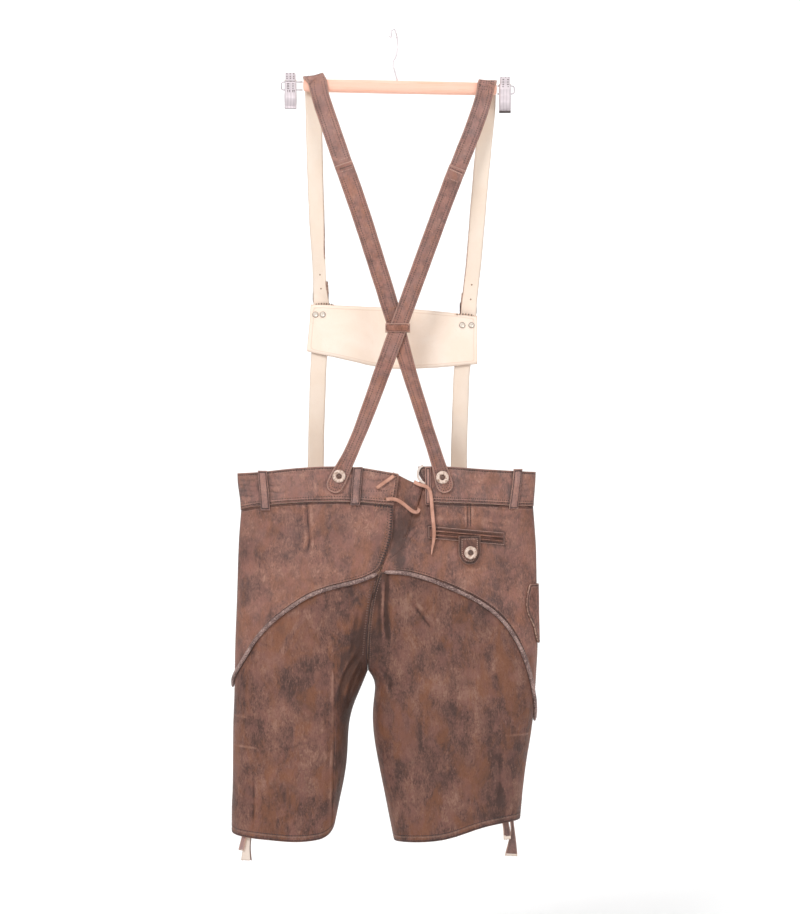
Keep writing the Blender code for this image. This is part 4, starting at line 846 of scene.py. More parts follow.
# painted shade in crease troughs, hollows, slots, folds and at the band's end, painted highlights on ridges and welts,
# and patches of the leather's own tone
tints = {  # (points, half width, amount) or patches of (x, z, width, height, amount), darker below nought
    "backYokeLeft": [
        ([(-236, -715), (-190, -711), (-120, -708), (-60, -708), (-6, -713)], 2.2, -0.8), (-210, -830, 26, 20, -0.5),
        (-150, -778, 24, 16, -0.3), (-75, -760, 18, 14, -0.35), (-212, -772, 10, 22, -0.4),
        (-120, -840, 30, 14, 0.25), (-110, -790, 14, 24, 0.3), (-60, -800, 22, 12, 0.2), (-150, -745, 14, 12, 0.2),
        ([(-129, -704), (-127.5, -735), (-125, -766), (-130, -786)], 1.1, -0.4), (-30, -780, 8, 30, -0.25),
        (-10, -796, 10, 24, -1.1), (-26, -788, 14, 30, -0.1)],
    "backYokeRight": [
        *[(*mark[:4], mark[4] / patchShare) for mark in hollowShade], (62, -790, 20, 16, -0.3),
        ([(130, -716), (165, -722), (190, -716)], 3.0, 0.6), ([(109.6, -706), (109.8, -746)], 1.0, -0.7),
        ([(112.8, -706), (113, -746)], 1.0, -0.7), ([(111.1, -706), (111.3, -746)], 0.8, 1.3),
        ([(116, -706), (116.2, -746)], 1.5, 0.6), ([(105.8, -706), (106.2, -746)], 1.5, 0.6),
        ([(60, -711), (120, -712), (196, -711)], 2.0, -0.7), (180, -790, 14, 22, -0.35), (150, -820, 18, 14, -0.3),
        (120, -722, 30, 8, 0.3), (90, -808, 30, 10, 0.2), (178, -860, 12, 20, -0.3), (68, -731, 22, 5, 0.65),
        (128, -738, 14, 6, 0.6), ([(60, -740), (110, -744), (162, -750)], 2.6, -0.6), (96, -778, 30, 8, 0.25)],
    "backLegLeft": [
        (-214, -1030, 26, 14, -0.6), (-206, -1062, 22, 16, -0.45), (-222, -1120, 12, 24, -0.4),
        (-120, -1000, 22, 26, -0.35), (-116, -1150, 22, 20, -0.55), (-165, -1140, 16, 26, -0.35),
        # the inner flap: its own darker leather and painted shade where it turns away from the light
        (-40, -950, 18, 26, -0.6), (-62, -1010, 19, 66, -2.3), (-66, -1120, 20, 95, -2.1),
        ([(-25, -806), (-28.5, -839), (-37, -877), (-42, -915), (-47, -950)], 9, -1.2), (-180, -1080, 12, 30, 0.5),
        (-190, -950, 16, 40, 0.35), (-160, -890, 20, 30, 0.3), (-100, -1060, 14, 60, 0.25),
        (-120, -860, 20, 14, 0.25), (-170, -985, 10, 12, -0.3), (-215, -1170, 14, 10, -0.3),
        ([(-241, -1068), (-222, -1067.5), (-200, -1069)], 1.6, 0.8), ([(-240, -1024), (-216, -1024)], 1.8, 0.5),
        ([(-207, -1105), (-206.5, -1150), (-208, -1190)], 2, -0.5),
        ([(-90, -950), (-89, -1010), (-91, -1090), (-95, -1190)], 1.8, 0.9), ([(-93, -900), (-90, -1000)], 5, 0.3),
        ([(-42, -915), (-56, -938), (-72, -962), (-82, -1000)], 2.4, -0.9), (-60, -958, 18, 26, -1.3),
        (-50, -920, 13, 34, -0.9), (-62, -876, 16, 26, -0.5), (-54, -935, 22, 30, -0.7),
        ([(-44, -945), (-56, -964), (-66, -992), (-72, -1022)], 2.2, -0.9)],
    "backLegRight": [
        (95, -1040, 16, 24, -0.5), (60, -1100, 14, 40, -0.5), (35, -1085, 16, 16, -0.35), (148, -1172, 14, 12, -0.85),
        (10, -1000, 16, 24, -0.4), (-24, -935, 14, 44, -0.9),
        ([(-25, -806), (-28.5, -839), (-37, -877), (-42, -915), (-47, -950)], 9, -1.2), (-8, -832, 15, 26, -0.6),
        (-20, -880, 12, 36, -0.9), (120, -1070, 10, 30, 0.3), (130, -1010, 8, 40, 0.4), (92, -890, 10, 24, -0.35),
        (150, -960, 10, 24, -0.35), (50, -880, 12, 16, -0.3), (70, -1000, 10, 30, 0.25), (30, -900, 20, 12, 0.25),
        ([(158, -1060), (157, -1110), (152, -1160)], 4, -0.15),
        ([(162, -1051), (185, -1050.5), (206, -1051)], 1.8, 0.8), (130, -1000, 12, 12, 0.25),
        ([(24, -850), (38, -871), (58, -896)], 1.8, -0.15),
        ([(-9, -804), (-10.3, -839), (-11, -877), (-8, -912)], 3.0, -0.9),
        ([(-15, -822), (-16.5, -870), (-15, -912)], 2.0, 0.9),
        ([(-20.5, -822), (-21.5, -870), (-20, -910)], 2.0, -0.9), (110, -1180, 50, 8, 0.2)],
    "frontLeft": [
        (-190, -860, 24, 30, -0.4), (-110, -1040, 20, 40, -0.45), (-170, -980, 16, 40, 0.35),
        (-90, -900, 20, 20, 0.3), (-200, -1110, 18, 30, -0.4), (-130, -1150, 26, 16, 0.3)],
    "frontRight": [
        (160, -850, 24, 30, -0.4), (90, -1030, 20, 40, -0.45), (130, -960, 16, 40, 0.35), (60, -890, 20, 20, 0.3),
        (150, -1120, 18, 30, -0.4), (60, -1150, 26, 16, 0.3)],
}
steps = {  # (points, drop, how far it reaches)
    "backLegLeft": [([(-88, -935), (-86.5, -1000), (-88, -1090), (-92, -1205)], 4.0, 26)],
    "frontRight": [([(40, -935), (36, -1000), (40, -1090), (48, -1205)], -2.5, 26)],
}
cloth = {}
for name, (node, out, flat, area, look, more) in panels.items():
    bm = cadCopy(node)
    markSides(bm, towardsBack if out < 0 else towardsFront)
    outside = leather(name + "Leather", *look, tinted=True, **more)
    made = smoothed(toPiece(name, bm, [outside, fleshSide, cutBrown]), 3 if out < 0 else 2)
    relief(made, creases[name], out, tints[name], steps.get(name, ()))
    made.data.set_sharp_from_angle(angle=math.radians(60))
    rimDistance(made)
    if "hem" in more:
        hemDistance(made)
    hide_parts(node)
    cloth[name] = made
print("panels made")


# waistband, gusset, piping and loops

soft = {"often": 40, "apart": 9, "rim": 3.2}  # unevenness of cut pieces, and how far in a bulge reaches its height


def cut(name, node, finishes, levels=3, away=towardsBack, slot="brown_leather", sharp=62, ease=0.0, bent=False,
        bulge=0.0, **sheet):
    # a cut leather piece on its solid's form
    bm = cadCopy(node)
    markSides(bm, away, sharp, bent)
    made = smoothed(toPiece(name, bm, finishes), levels)
    if name in creases:
        relief(made, creases[name], -1 if away is towardsBack else 1, tints[name])
    elif ease:
        co = points(made)
        often, apart = soft["often"], soft["apart"]
        co += ease * mm * np.array([[noise.noise(Vector((x * often, y * often + k * apart, z * often)))
                                     for k in range(3)] for x, y, z in co])
        setPoints(made, co)
    made.data.set_sharp_from_angle(angle=math.radians(58))
    rims = rimDistance(made)
    if bulge:
        co = points(made)
        share = (1 - np.exp(-(rims / soft["rim"]) ** 2)) * sideVertices(made, 0)
        co[:, 1] += np.sign(co[:, 1].mean()) * bulge * mm * share
        setPoints(made, co)
    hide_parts(node)
    cloth[name] = made
    return made


creases.update({
    "bandBackLeft": [
        ([(-226, -664), (-160, -667), (-60, -668), (0, -670)], 2.6, 0.5, 0.02),
        ([(-230, -703), (-160, -706), (-60, -706), (4, -706)], 2.4, 0.6, 0.02),
        ([(-118, -668), (-116, -690), (-117, -704)], 1.4, 0.8, 0.2),
        ([(-238, -674), (-222, -676), (-205, -675)], 1.6, -0.9, 0.2),
        ([(-238, -682), (-224, -683), (-202, -685)], 1.6, -1.0, 0.2),
        ([(-236, -690), (-220, -691), (-204, -693)], 1.6, -1.0, 0.2),
        ([(-236, -697), (-222, -698), (-206, -700)], 1.5, -0.9, 0.2),
        ([(-189, -682), (-176, -684), (-166, -682)], 1.6, -0.8, 0.2),
        ([(-188, -691), (-170, -694), (-158, -692)], 1.6, -0.8, 0.2),
        ([(-96, -690), (-80, -693), (-70, -692)], 1.6, -0.7, 0.2),
        ([(-44, -672), (-30, -676), (-14, -674)], 1.8, -0.8, 0.2),
        ([(-46, -690), (-28, -688), (-10, -692)], 1.8, -0.8, 0.2)],
    "bandBackRight": [
        ([(46, -669), (90, -668), (150, -668), (206, -668)], 2.6, 0.5, 0.02),
        ([(46, -707), (90, -707), (150, -706), (206, -706)], 2.4, 0.6, 0.02),
        ([(96, -690), (120, -688), (140, -691)], 5, 0.5, 0.3), ([(60, -676), (80, -678), (92, -676)], 1.8, -0.7, 0.2),
        ([(108, -680), (124, -682), (140, -680)], 1.8, -0.6, 0.2),
        ([(176, -680), (190, -682), (204, -680)], 1.7, -0.9, 0.2),
        ([(178, -690), (192, -691), (206, -689)], 1.7, -0.9, 0.2),
        ([(176, -699), (190, -699), (206, -698)], 1.7, -0.8, 0.2)],
    "bandFrontLeft": [([(-226, -664), (-120, -674), (-10, -694)], 2.6, 0.4, 0.05)],
    "bandFrontRight": [([(206, -668), (120, -676), (10, -694)], 2.6, 0.4, 0.05)],
    "pocketWelt": [
        ([(56, -743.5), (164, -754)], 1.1, -1.0, 0.03), ([(56, -747.6), (164, -758)], 1.5, -2.0, 0.03),
        ([(56, -751.4), (164, -761.8)], 1.1, -1.0, 0.03), ([(56, -745.5), (164, -756)], 1.0, 0.7, 0.03),
        ([(56, -749.6), (164, -760)], 1.0, 0.7, 0.03)],
    "frontFlap": [
        ([(-60, -730), (-50, -780), (-64, -840)], 8, 0.9, 0.4), ([(40, -740), (52, -790), (40, -850)], 9, 0.9, 0.4),
        ([(-10, -760), (0, -810), (-12, -860)], 8, -0.8, 0.4)],
})
tints.update({
    "bandBackLeft": [
        ([(-118, -668), (-116, -690)], 2.0, 0.35), (-206, -690, 14, 9, -0.45), (-100, -688, 22, 8, 0.25),
        (-140, -684, 12, 9, -0.3), (-40, -694, 20, 6, -0.5), (-25, -676, 12, 8, -0.35)],
    "bandBackRight": [
        (104, -690, 18, 8, 0.3), (160, -684, 14, 10, -0.3), (60, -694, 12, 12, -0.4), (200, -690, 6, 14, -0.3),
        # painted shade inside the folded end of the band
        (43, -668, 7, 16, -1.4)],
    "bandFrontLeft": [(-150, -690, 24, 10, -0.3)],
    "bandFrontRight": [(110, -690, 24, 10, -0.3)],
    "pocketWelt": [
        # painted shade in the welt's slots and painted highlights on its two rolls
        ([(55, -742.8), (165, -753.2)], 1.1, -1.6), ([(55, -747.6), (165, -758)], 1.4, -1.9),
        ([(55, -752.2), (165, -762.6)], 1.1, -1.6), ([(55, -745.2), (165, -755.6)], 0.8, 0.8),
        ([(55, -750.0), (165, -760.4)], 0.8, 0.7)],
    "frontFlap": [(-50, -800, 20, 30, -0.4), (40, -840, 24, 16, -0.35), (0, -770, 30, 20, 0.3)],
})
bands = {  # node, outside, pattern's shift, flat size and area
    "bandBackLeft": ("waistband_back_left", towardsBack, (3.1, 7.7, 0.2), (0.250, 0.052), 0.0128),
    "bandBackRight": ("waistband_back_right", towardsBack, (8.3, 1.7, 6.2), (0.185, 0.056), 0.0096),
    "bandFrontLeft": ("waistband_front_left", towardsFront, (2.3, 5.7, 4.2), (0.235, 0.051), 0.0115),
    "bandFrontRight": ("waistband_front_right", towardsFront, (6.6, 2.2, 9.2), (0.206, 0.051), 0.0100),
}
for name, (node, away, shift, flat, area) in bands.items():
    look = leather(name + "Leather", shift, 0.94, 0.4, 0.5, 0.3, True, (3.2,), 0.8, cool=0.2)
    cut(name, node, [look, fleshSide, cutBrown], 3, away, flat=flat, held="hung",
        rests_on=["backYokeLeft", "frontLeft"], area=area)

grey = Finish("pipingGrey", Sheen_Weight=0.25, Sheen_Roughness=0.4, Specular_IOR_Level=0.4)
at = grey.place()
cloud = grey.noise(at, 55, 4, 0.65, 0.6)
fleck = grey.noise(at, 420, 3, 0.7)
grey.coat(cloud.rise(0.36, 0.66), rgb(142, 115, 108), rgb(96, 72, 68))
grey.coat(fleck.rise(0.50, 0.68) * 0.75, rgb(196, 168, 158))
grey.coat(fleck.rise(0.46, 0.30) * 0.6, rgb(70, 52, 51))
pipingGrey = grey.use(0.5 + (fleck - 0.5) * 0.4, fleck + cloud * 0.6, 0.8, 0.5)
piping = {"fuller": 1.15, "wave": 0.3, "often": 55}
for side in ("left", "right"):
    made = smoothed(toPiece("piping" + side.capitalize(), cadCopy("yoke_piping_" + side), [pipingGrey]), 2)
    co = points(made)
    normals = np.zeros(len(co) * 3)
    made.data.vertices.foreach_get("normal", normals)
    wave = np.array([noise.noise(Vector(p * piping["often"])) for p in co])
    co += normals.reshape(-1, 3) * (piping["fuller"] + piping["wave"] * wave)[:, None] * mm
    setPoints(made, co)
    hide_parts("yoke_piping_" + side)

yokeRight = cloth["backYokeRight"]
# dark brown on the gusset's underside and cut edges: painted shade inside the fold
gussetDark = cutEdge("gussetDark", rgb(84, 62, 56), rgb(122, 88, 77), 0.5)
gusset = cut("gusset", "back_gusset", [yokeRight.data.materials[0], gussetDark, gussetDark], sharp=75, ease=0.5,
             flat=(0.120, 0.120), held="folded", rests_on=["backYokeRight"], area=0.0098)
slit = [  # height, where the gusset folds and where the yoke begins, across, and how deep the inner layer starts
    (-668, 47, 60, -40.2), (-684, 46.5, 58, -40.2), (-692, 42, 56, -40.2), (-700, 40.5, 54, -40.4),
    (-708, 37.5, 51, -41.2), (-716, 36.3, 48.5, -42.3), (-724, 33.5, 45.5, -42.9), (-732, 29.2, 42, -43.1),
    (-740, 27.5, 37.5, -42.2), (-748, 24.2, 33.5, -41.2), (-756, 20.2, 29, -40.8), (-764, 18, 23.5, -40.8),
    (-772, 11, 14, -41.4), (-780, 3, 5.5, -42.6), (-790, -10, -8, -44)]
hollowStarts = {  # height: how far left the gusset starts to rise to the yoke
    -700: 45, -716: 34, -732: 24, -748: 17, -756: 12, -764: 6, -772: 0, -780: -6, -790: -16}
closing = {"lead": 6.0, "leadBelow": -712, "before": 8, "after": 14, "inside": 0.9, "layer": 1.5, "meets": -45.8,
           "clear": 2.0, "forward": (-745, 40, 4.6), "down": (-762, 20, 22, 6)}
joined = {"top": -706, "topFade": 14, "foot": 816, "footFade": 8, "before": 8, "after": 14, "over": 0.6, "under": 3.0}
bentEdge = {"from": 2, "reach": 9, "foot": -0.812, "top": -0.704, "least": 1.0, "most": 2.9}


def depth(tree, x, z):
    # how far back a tree's first face lies at a place in millimetres, seen from behind
    hit = tree.ray_cast(Vector((x * mm, -0.3, z * mm)), Vector((0, 1, 0)))[0]
    return None if hit is None else hit.y / mm


def closeFold(piece, table):
    # the gusset's inner layer drawn out to the yoke, so that the two run into each other
    flat, yoke = (BVHTree.FromObject(part, bpy.context.evaluated_depsgraph_get()) for part in (piece, yokeRight))
    co = points(piece)
    heights, folds, edges, starts = ([row[k] for row in table][::-1] for k in range(4))
    # the hollow's painted shade, the same as on the yoke
    tint = sum(patch(co, *mark) for mark in hollowShade)
    for k, (x, y, z) in enumerate(co / mm):
        fold, edge, start = (np.interp(z, heights, row) for row in (folds, edges, starts))
        lead = closing["lead"] if z < closing["leadBelow"] else 0.0  # the layer shows this far left of the fold
        if x < fold - closing["before"] or x > edge + closing["after"]:
            continue
        front = depth(flat, max(x, fold + closing["inside"]), z)
        if front is None or y < front - closing["layer"]:
            continue
        share = min(max((x - fold) / (edge - fold), 0), 1)
        after = closing["after"]
        ease = min(max((x - fold + lead + 4) / 4, 0), 1) * min(max((edge + after - x) / after, 0), 1)
        moved = y + ease * (start + (closing["meets"] - start) * share * share - front)
        over = depth(yoke, x, z)
        co[k, 1] = (moved if over is None else max(moved, over + closing["clear"])) * mm
    begin, over, reach = closing["forward"]  # its foot comes forward and reaches down behind the yokes
    low = np.clip((begin - co[:, 2] / mm) / over, 0, 1)
    co[:, 1] -= reach * mm * low * low * (3 - 2 * low)
    begin, over, down, across = closing["down"]
    low = np.clip((begin - co[:, 2] / mm) / over, 0, None)
    co[:, 2] -= low * down * mm
    co[:, 0] -= low * across * mm
    setPoints(piece, co)
    setAttribute(piece, "tint", np.clip(tint, *tintRange))
    setAttribute(piece, "rim", np.full(len(co), 20.0))


def joinYoke(piece, starts):
    # the gusset's visible face brought forward to lie just over the yoke's edge, so that no step shows
    flat, yoke = treeOf([piece]), treeOf([yokeRight])
    heights = list(range(-820, -700, 2))
    edges = [next((x for x in np.arange(-20, 62, 0.5) if depth(yoke, x, z) is not None), 62.0) for z in heights]
    levels = sorted(starts)
    co = points(piece)
    for k, (x, _, z) in enumerate(co / mm):
        share = min(max((joined["top"] - z) / joined["topFade"], 0), 1)
        share *= min(max((z + joined["foot"]) / joined["footFade"], 0), 1)
        edge = float(np.interp(z, heights, edges))
        begin = min(float(np.interp(z, levels, [starts[level] for level in levels])), edge - joined["before"])
        if not share or x < begin or x > edge + joined["after"]:
            continue
        here, low, high = depth(flat, x, z), depth(flat, begin, z), depth(yoke, max(x, edge + 1), z)
        if here is None or high is None:
            continue
        low = here if low is None else low
        t = (x - begin) / (edge - begin) if x <= edge else min(max((x - edge - 3) / 4, 0), 1)
        t = t * t * (3 - 2 * t)
        over = high - joined["over"]
        goal = low + (over - low) * t if x <= edge else over + joined["under"] * t
        co[k, 1] += (goal - here) * share * mm
    setPoints(piece, co)


def softenEdge(piece, table):
    # the yoke's edge beside the slit bent in to meet the gusset, without a pale cut
    co = points(piece)
    heights = [row[0] for row in table][::-1]
    begins = np.interp(co[:, 2] / mm, heights, [row[2] for row in table][::-1])
    far = np.clip((co[:, 0] / mm - begins + bentEdge["from"]) / bentEdge["reach"], 0, 1)
    inside = (far < 1) & (co[:, 2] > bentEdge["foot"]) & (co[:, 2] < bentEdge["top"])
    bend = np.interp(co[:, 2] / mm, heights, np.linspace(bentEdge["least"], bentEdge["most"], len(heights)))
    co[:, 1] += np.where(inside, bend * (1 - far) ** 2, 0) * mm
    setPoints(piece, co)
    rims = np.zeros(len(co))
    piece.data.attributes["rim"].data.foreach_get("value", rims)
    setAttribute(piece, "rim", np.where(inside, np.maximum(rims, 20), rims))
    for polygon in piece.data.polygons:
        if polygon.material_index == 2 and inside[polygon.vertices[0]]:
            polygon.material_index = 0


softenEdge(yokeRight, slit)
closeFold(gusset, slit)
joinYoke(gusset, hollowStarts)

loopLook = leather("loopLeather", (5.2, 5.6, 1.1), 0.98, 0.0, 0.4, 0.3, edge=0.1, shade=1.0, cool=0.35)
loops = {"belt_loop_back_1": (0.0168, 0.0440), "belt_loop_back_2": (0.0168, 0.0450),
         "belt_loop_back_3": (0.0102, 0.0440), "belt_loop_back_4": (0.0168, 0.0450),
         "belt_loop_front_left": (0.0158, 0.0425), "belt_loop_front_right": (0.0158, 0.0415)}
loopEnds = {"loopBack1": (3.5, 4.5), "loopBack2": (2.0, 1.5), "loopBack4": (5.0, 1.5)}  # longer at the top and foot
for node, flat in loops.items():
    name = camel("loop", node, 2)
    cut(name, node, [loopLook, fleshSide, cutBrown], 3, awayFromAxis, "dark_leather", ease=0.35, bulge=2.0,
        flat=flat, held="stretched", rests_on=["bandBackLeft"])
    co = points(cloth[name])
    foot, top = co[:, 2].min(), co[:, 2].max()
    share = (co[:, 2] - (foot + top) / 2) / ((top - foot) / 2)
    up, down = loopEnds.get(name, (1.0, 1.0))
    co[:, 2] += np.where(share > 0, up, down) * share ** 3 * mm
    setPoints(cloth[name], co)


def shadeBeside(name, others, reach=3.5, amount=0.8):
    # painted shade beside the pieces sewn on
    piece = cloth[name]
    tree = treeOf([cloth[other] for other in others])
    tint = np.zeros(len(piece.data.vertices))
    piece.data.attributes["tint"].data.foreach_get("value", tint)
    far = np.array([(tree.find_nearest(p)[3] or 1.0) / mm for p in points(piece)])
    setAttribute(piece, "tint", np.clip(tint - amount * np.exp(-(far / reach) ** 2), *tintRange))


shadeBeside("bandBackLeft", ["loopBack1", "loopBack2"])
shadeBeside("bandBackRight", ["loopBack4"])
print("waistband, gusset, piping and loops made")


# pockets and flap

pocketLook = leather("pocketLeather", (2.2, 9.1, 5.5), 0.95, 0.35, 0.5, 0.3, lines=(2.6,))
flapLook = leather("flapLeather", (7.2, 1.1, 2.6), 0.97, 0.5, 0.45, lines=(4.0,), tinted=True)
tabLook = leather("tabLeather", (3.3, 4.4, 7.1), 0.74, 0.35, 0.6, 0.3, lines=(2.6,))
weltLook = leather("weltLeather", (2.2, 9.1, 5.5), 0.84, 0.35, 0.5, 0.3, tinted=True, edge=0.8)
cut("pocketWelt", "pocket_welt", [weltLook, fleshSide, cutBrown], 2, slot="dark_leather", flat=(0.114, 0.020),
    held="stretched", rests_on=["backYokeRight"])
welt = {"start": 0.055, "high": -0.7476, "slope": 0.095, "taller": 0.2, "lower": 4.5}
co = points(cloth["pocketWelt"])
middle = welt["high"] - (co[:, 0] - welt["start"]) * welt["slope"]
co[:, 2] += (co[:, 2] - middle) * welt["taller"] - welt["lower"] * mm
setPoints(cloth["pocketWelt"], co)
cut("pocketTab", "pocket_tab", [tabLook, fleshSide, cutBrown], ease=0.3, flat=(0.033, 0.043), held="laid",
    rests_on=["pocketWelt"], area=0.0013)
cut("knifePocket", "knife_pocket", [pocketLook, fleshSide, cutBrown], 2, towardsRight, ease=0.4, flat=(0.090, 0.064),
    held="stretched", rests_on=["backYokeRight"], area=0.0051)
cut("frontFlap", "front_flap", [flapLook, fleshSide, cutBrown], 3, towardsFront, flat=(0.181, 0.183), held="hung",
    rests_on=["frontLeft", "frontRight"], area=0.031)
shadeBeside("backYokeRight", ["pocketWelt", "pocketTab"], 3.0, 0.6)
print("pockets and flap made")


# braces

strapWear = dict(streaky=0.1, size=0.5, edge=0.75, shade=0.0, pale=2.0, calm=0.7)
strapLook = leather("strapLeather", (1.1, 2.9, 4.3), 0.98, 0.5, 0.3, cool=0.18, **strapWear)
strapLookRight = leather("strapLeatherRight", (8.1, 6.9, 2.3), 0.98, 0.4, 0.35, cool=0.22, **strapWear)
frontLook = leather("frontStrapLeather", (4.7, 3.9, 9.3), 1.01, 0.3, 0.35, cool=0.3, **strapWear)
fleshStrap = flesh("fleshStrap", (2.0, 5.0, 1.0), 0.935, yellow=0.4)
# a lighter copy of the flesh side for the right strap: painted light against the shade that falls on it
fleshRight = flesh("fleshRight", (2.0, 5.0, 1.0), 0.965, yellow=0.4)
fleshBar = flesh("fleshBar", (4.0, 1.0, 6.0), 0.97, lines=(5.0,), yellow=0.3)
cutPale = cutEdge("cutPale", rgb(206, 172, 150), rgb(236, 212, 190), 0.45)
cutStrap = cutEdge("cutStrap", rgb(150, 116, 104), rgb(206, 172, 158), 0.42)
straps = {
    "strapToRight": ("back_strap_to_right", towardsBack, [strapLook, fleshSide, cutStrap], (0.026, 0.512), 0.0128),
    "strapToLeft": ("back_strap_to_left", towardsBack, [strapLookRight, fleshSide, cutStrap], (0.026, 0.512), 0.0128),
    "frontStrapLeft": ("shoulder_strap_left", overTheBar, [frontLook, fleshStrap, cutStrap], (0.027, 0.515), 0.0138),
    "frontStrapRight": ("shoulder_strap_right", overTheBar, [frontLook, fleshRight, cutStrap], (0.027, 0.515), 0.0138),
    "chestStrapLeft": ("chest_strap_left", towardsFront, [frontLook, fleshStrap, cutPale], (0.026, 0.300), 0.0073),
    "chestStrapRight": ("chest_strap_right", towardsFront, [frontLook, fleshStrap, cutPale], (0.026, 0.283), 0.0069),
}
for name, (node, away, finishes, flat, area) in straps.items():
    cut(name, node, finishes, 3, away, ease=0.3, sharp=66, bent=away is overTheBar, flat=flat, held="hung",
        rests_on=["hanger_bar"], area=area)
corner = {"below": 0.100, "high": 0.030, "wide": 0.030, "frontStrapLeft": -4.0, "frontStrapRight": 1.5}
for name in ("frontStrapLeft", "frontStrapRight"):
    co = points(cloth[name])  # its top corner leans out over the bar's end
    high = np.clip((co[:, 2] + corner["below"]) / corner["high"], 0, 1)
    outer = np.clip((co[:, 0] - co[:, 0].mean()) * np.sign(corner[name]) / corner["wide"], 0, 1)
    co[:, 0] += corner[name] * mm * high * outer
    setPoints(cloth[name], co)
cut("breastBar", "breast_bar", [frontLook, fleshBar, cutPale], 4, towardsFront, ease=0.6, flat=(0.251, 0.097),
    held="hung", rests_on=["chestStrapLeft", "chestStrapRight"], area=0.0212)
lean = {"from": -0.09, "wide": 0.035, "below": -0.412, "high": 0.07, "reach": 0.0062}
co = points(cloth["breastBar"])  # its left end leans out at the foot
share = np.clip((lean["from"] - co[:, 0]) / lean["wide"], 0, 1)
co[:, 0] -= lean["reach"] * share * np.clip((lean["below"] - co[:, 2]) / lean["high"], 0, 1)
setPoints(cloth["breastBar"], co)
keeperLook = leather("keeperLeather", (1.1, 4.9, 2.3), 0.98, 0.3, 0.3, 0.1, size=0.5, edge=0.8, shade=0.2, pale=1.4)
cut("keeper", "strap_keeper", [keeperLook, fleshSide, cutBrown], slot="dark_leather", flat=(0.105, 0.013),
    held="folded", rests_on=["strapToRight", "strapToLeft"], area=0.00131)
for side in ("left", "right"):
    cut("buckleTab" + side.capitalize(), "buckle_tab_" + side, [frontLook, fleshStrap, cutBrown], 3, towardsFront,
        "dark_leather", flat=(0.0205, 0.0210), held="folded", rests_on=["frontStrap" + side.capitalize()])
tieDark = leather("tieLeather", (0.4, 1.9, 7.3), 0.72, 0.1, 0.9, 0.2, size=0.6)
tieWorn = leather("tieLeatherWorn", (0.9, 1.1, 7.9), 0.84, 0.1, 0.5, 0.2, size=0.6, cool=0.35, edge=0.9, shade=0.2,
                  pale=2.2)
fleshTie = flesh("fleshTie", (6.0, 2.0, 1.0), 0.88, yellow=0.2)
tieGrey = leather("tieLeatherGrey", (1.9, 1.7, 7.1), 1.02, 0.0, 0.2, 0.2, size=0.6, cool=0.6, edge=0.6, shade=0.0,
                  pale=2.0)
ties = {"hem_tie_left_short": ([tieGrey, fleshStrap, cutPale], (0.0110, 0.0290)),
        "hem_tie_left_long": ([fleshTie, fleshTie, cutPale], (0.0125, 0.0480)),
        "hem_tie_right_short": ([tieWorn, fleshStrap, cutPale], (0.0130, 0.0370)),
        "hem_tie_right_long": ([tieWorn, fleshStrap, cutPale], (0.0130, 0.0570))}
fray = {"high": 0.004, "reach": 2.2, "beside": 0.002, "edge": 0.0016, "tieRightShort": 5.5, "tieRightLong": 3.0,
        "tieLeftShort": 2.0}  # pale frayed ends
for node, (finishes, flat) in ties.items():
    name = camel("tie", node, 2)
    slot = "flesh_side" if finishes[0] is fleshTie else "dark_leather"
    cut(name, node, finishes, slot=slot, ease=0.3, flat=flat, held="hung", rests_on=["backLegLeft"],
        area=flat[0] * flat[1] * 0.98)
    tie = cloth[name]
    co = points(tie)
    foot = co[:, 2].min()
    low = np.clip(1 - (co[:, 2] - foot) / fray["high"], 0, 1)
    teeth = np.array([noise.noise(Vector((x * 900, y * 500, 3.0))) for x, y, z in co])
    co[:, 2] += low * teeth * fray["reach"] * mm
    setPoints(tie, co)
    tie.data.materials.append(fleshTie if name != "tieLeftLong" else tieDark)
    for polygon in tie.data.polygons:
        x, y, z = polygon.center
        beside = co[np.abs(co[:, 2] - z) < fray["beside"], 0]
        worn = x > beside.max() - fray["edge"] if name == "tieLeftLong" else z < foot + fray.get(name, 0) * mm
        if worn:
            polygon.material_index = 3
lip = {"path": [(43.5, -44.6, -653.2), (39.6, -45.4, -655.2), (36.6, -45.7, -659.5), (35.4, -45.4, -665),
                (36.0, -44.8, -670.5), (38.8, -44.6, -675), (43.5, -45.2, -678.4), (48.5, -46.5, -681.2)],
       "across": 3.4, "thick": 1.6}
fleshPeach = flesh("fleshPeach", (1.0, 3.0, 2.0), 0.85, pink=1.0)
bandLip = toPiece("bandLip", swept(lip["path"], lip["across"], lip["thick"]), [fleshPeach])
setAttribute(bandLip, "rim", np.full(len(bandLip.data.vertices), 5.0))
fringes = {"Left": [(-119.5, -409.8), (-105, -408.6), (-90.5, -410.6)],
           "Right": [(91, -425.6), (106, -424.8), (121, -427)]}
for side, line in fringes.items():  # pinked leather that shows over the breast bar's top
    cast = castRow([cloth["frontStrap" + side], cloth["breastBar"]], line)
    front = min((p.y for row in cast for p in row), default=-0.01)
    teeth = toPiece("fringe" + side, swept([(x, front / mm - 0.6, z) for x, z in line], 1.3, 0.7), [cutPale])
    cloth["fringe" + side] = teeth
print("braces and ties made")


# buttons, rivets and buckles

def seat(node):
    # where a turned part sits: the middle of its foot and its axis, away from the leather
    co = np.array([v.co for v in nodes[node].data.vertices])
    centre = (co.max(0) + co.min(0)) / 2
    spread = np.linalg.eigh(np.cov((co - co.mean(0)).T))
    axis = Vector(spread[1][:, 0])
    if axis.y * centre[1] < 0:
        axis.negate()
    heights = (co - centre) @ np.array(axis)
    middle = Vector(co.mean(0))
    foot = middle + axis * (heights.min() - (np.array(middle) - centre) @ np.array(axis))
    return Matrix.Translation(foot) @ axis.to_track_quat("Z", "Y").to_matrix().to_4x4()


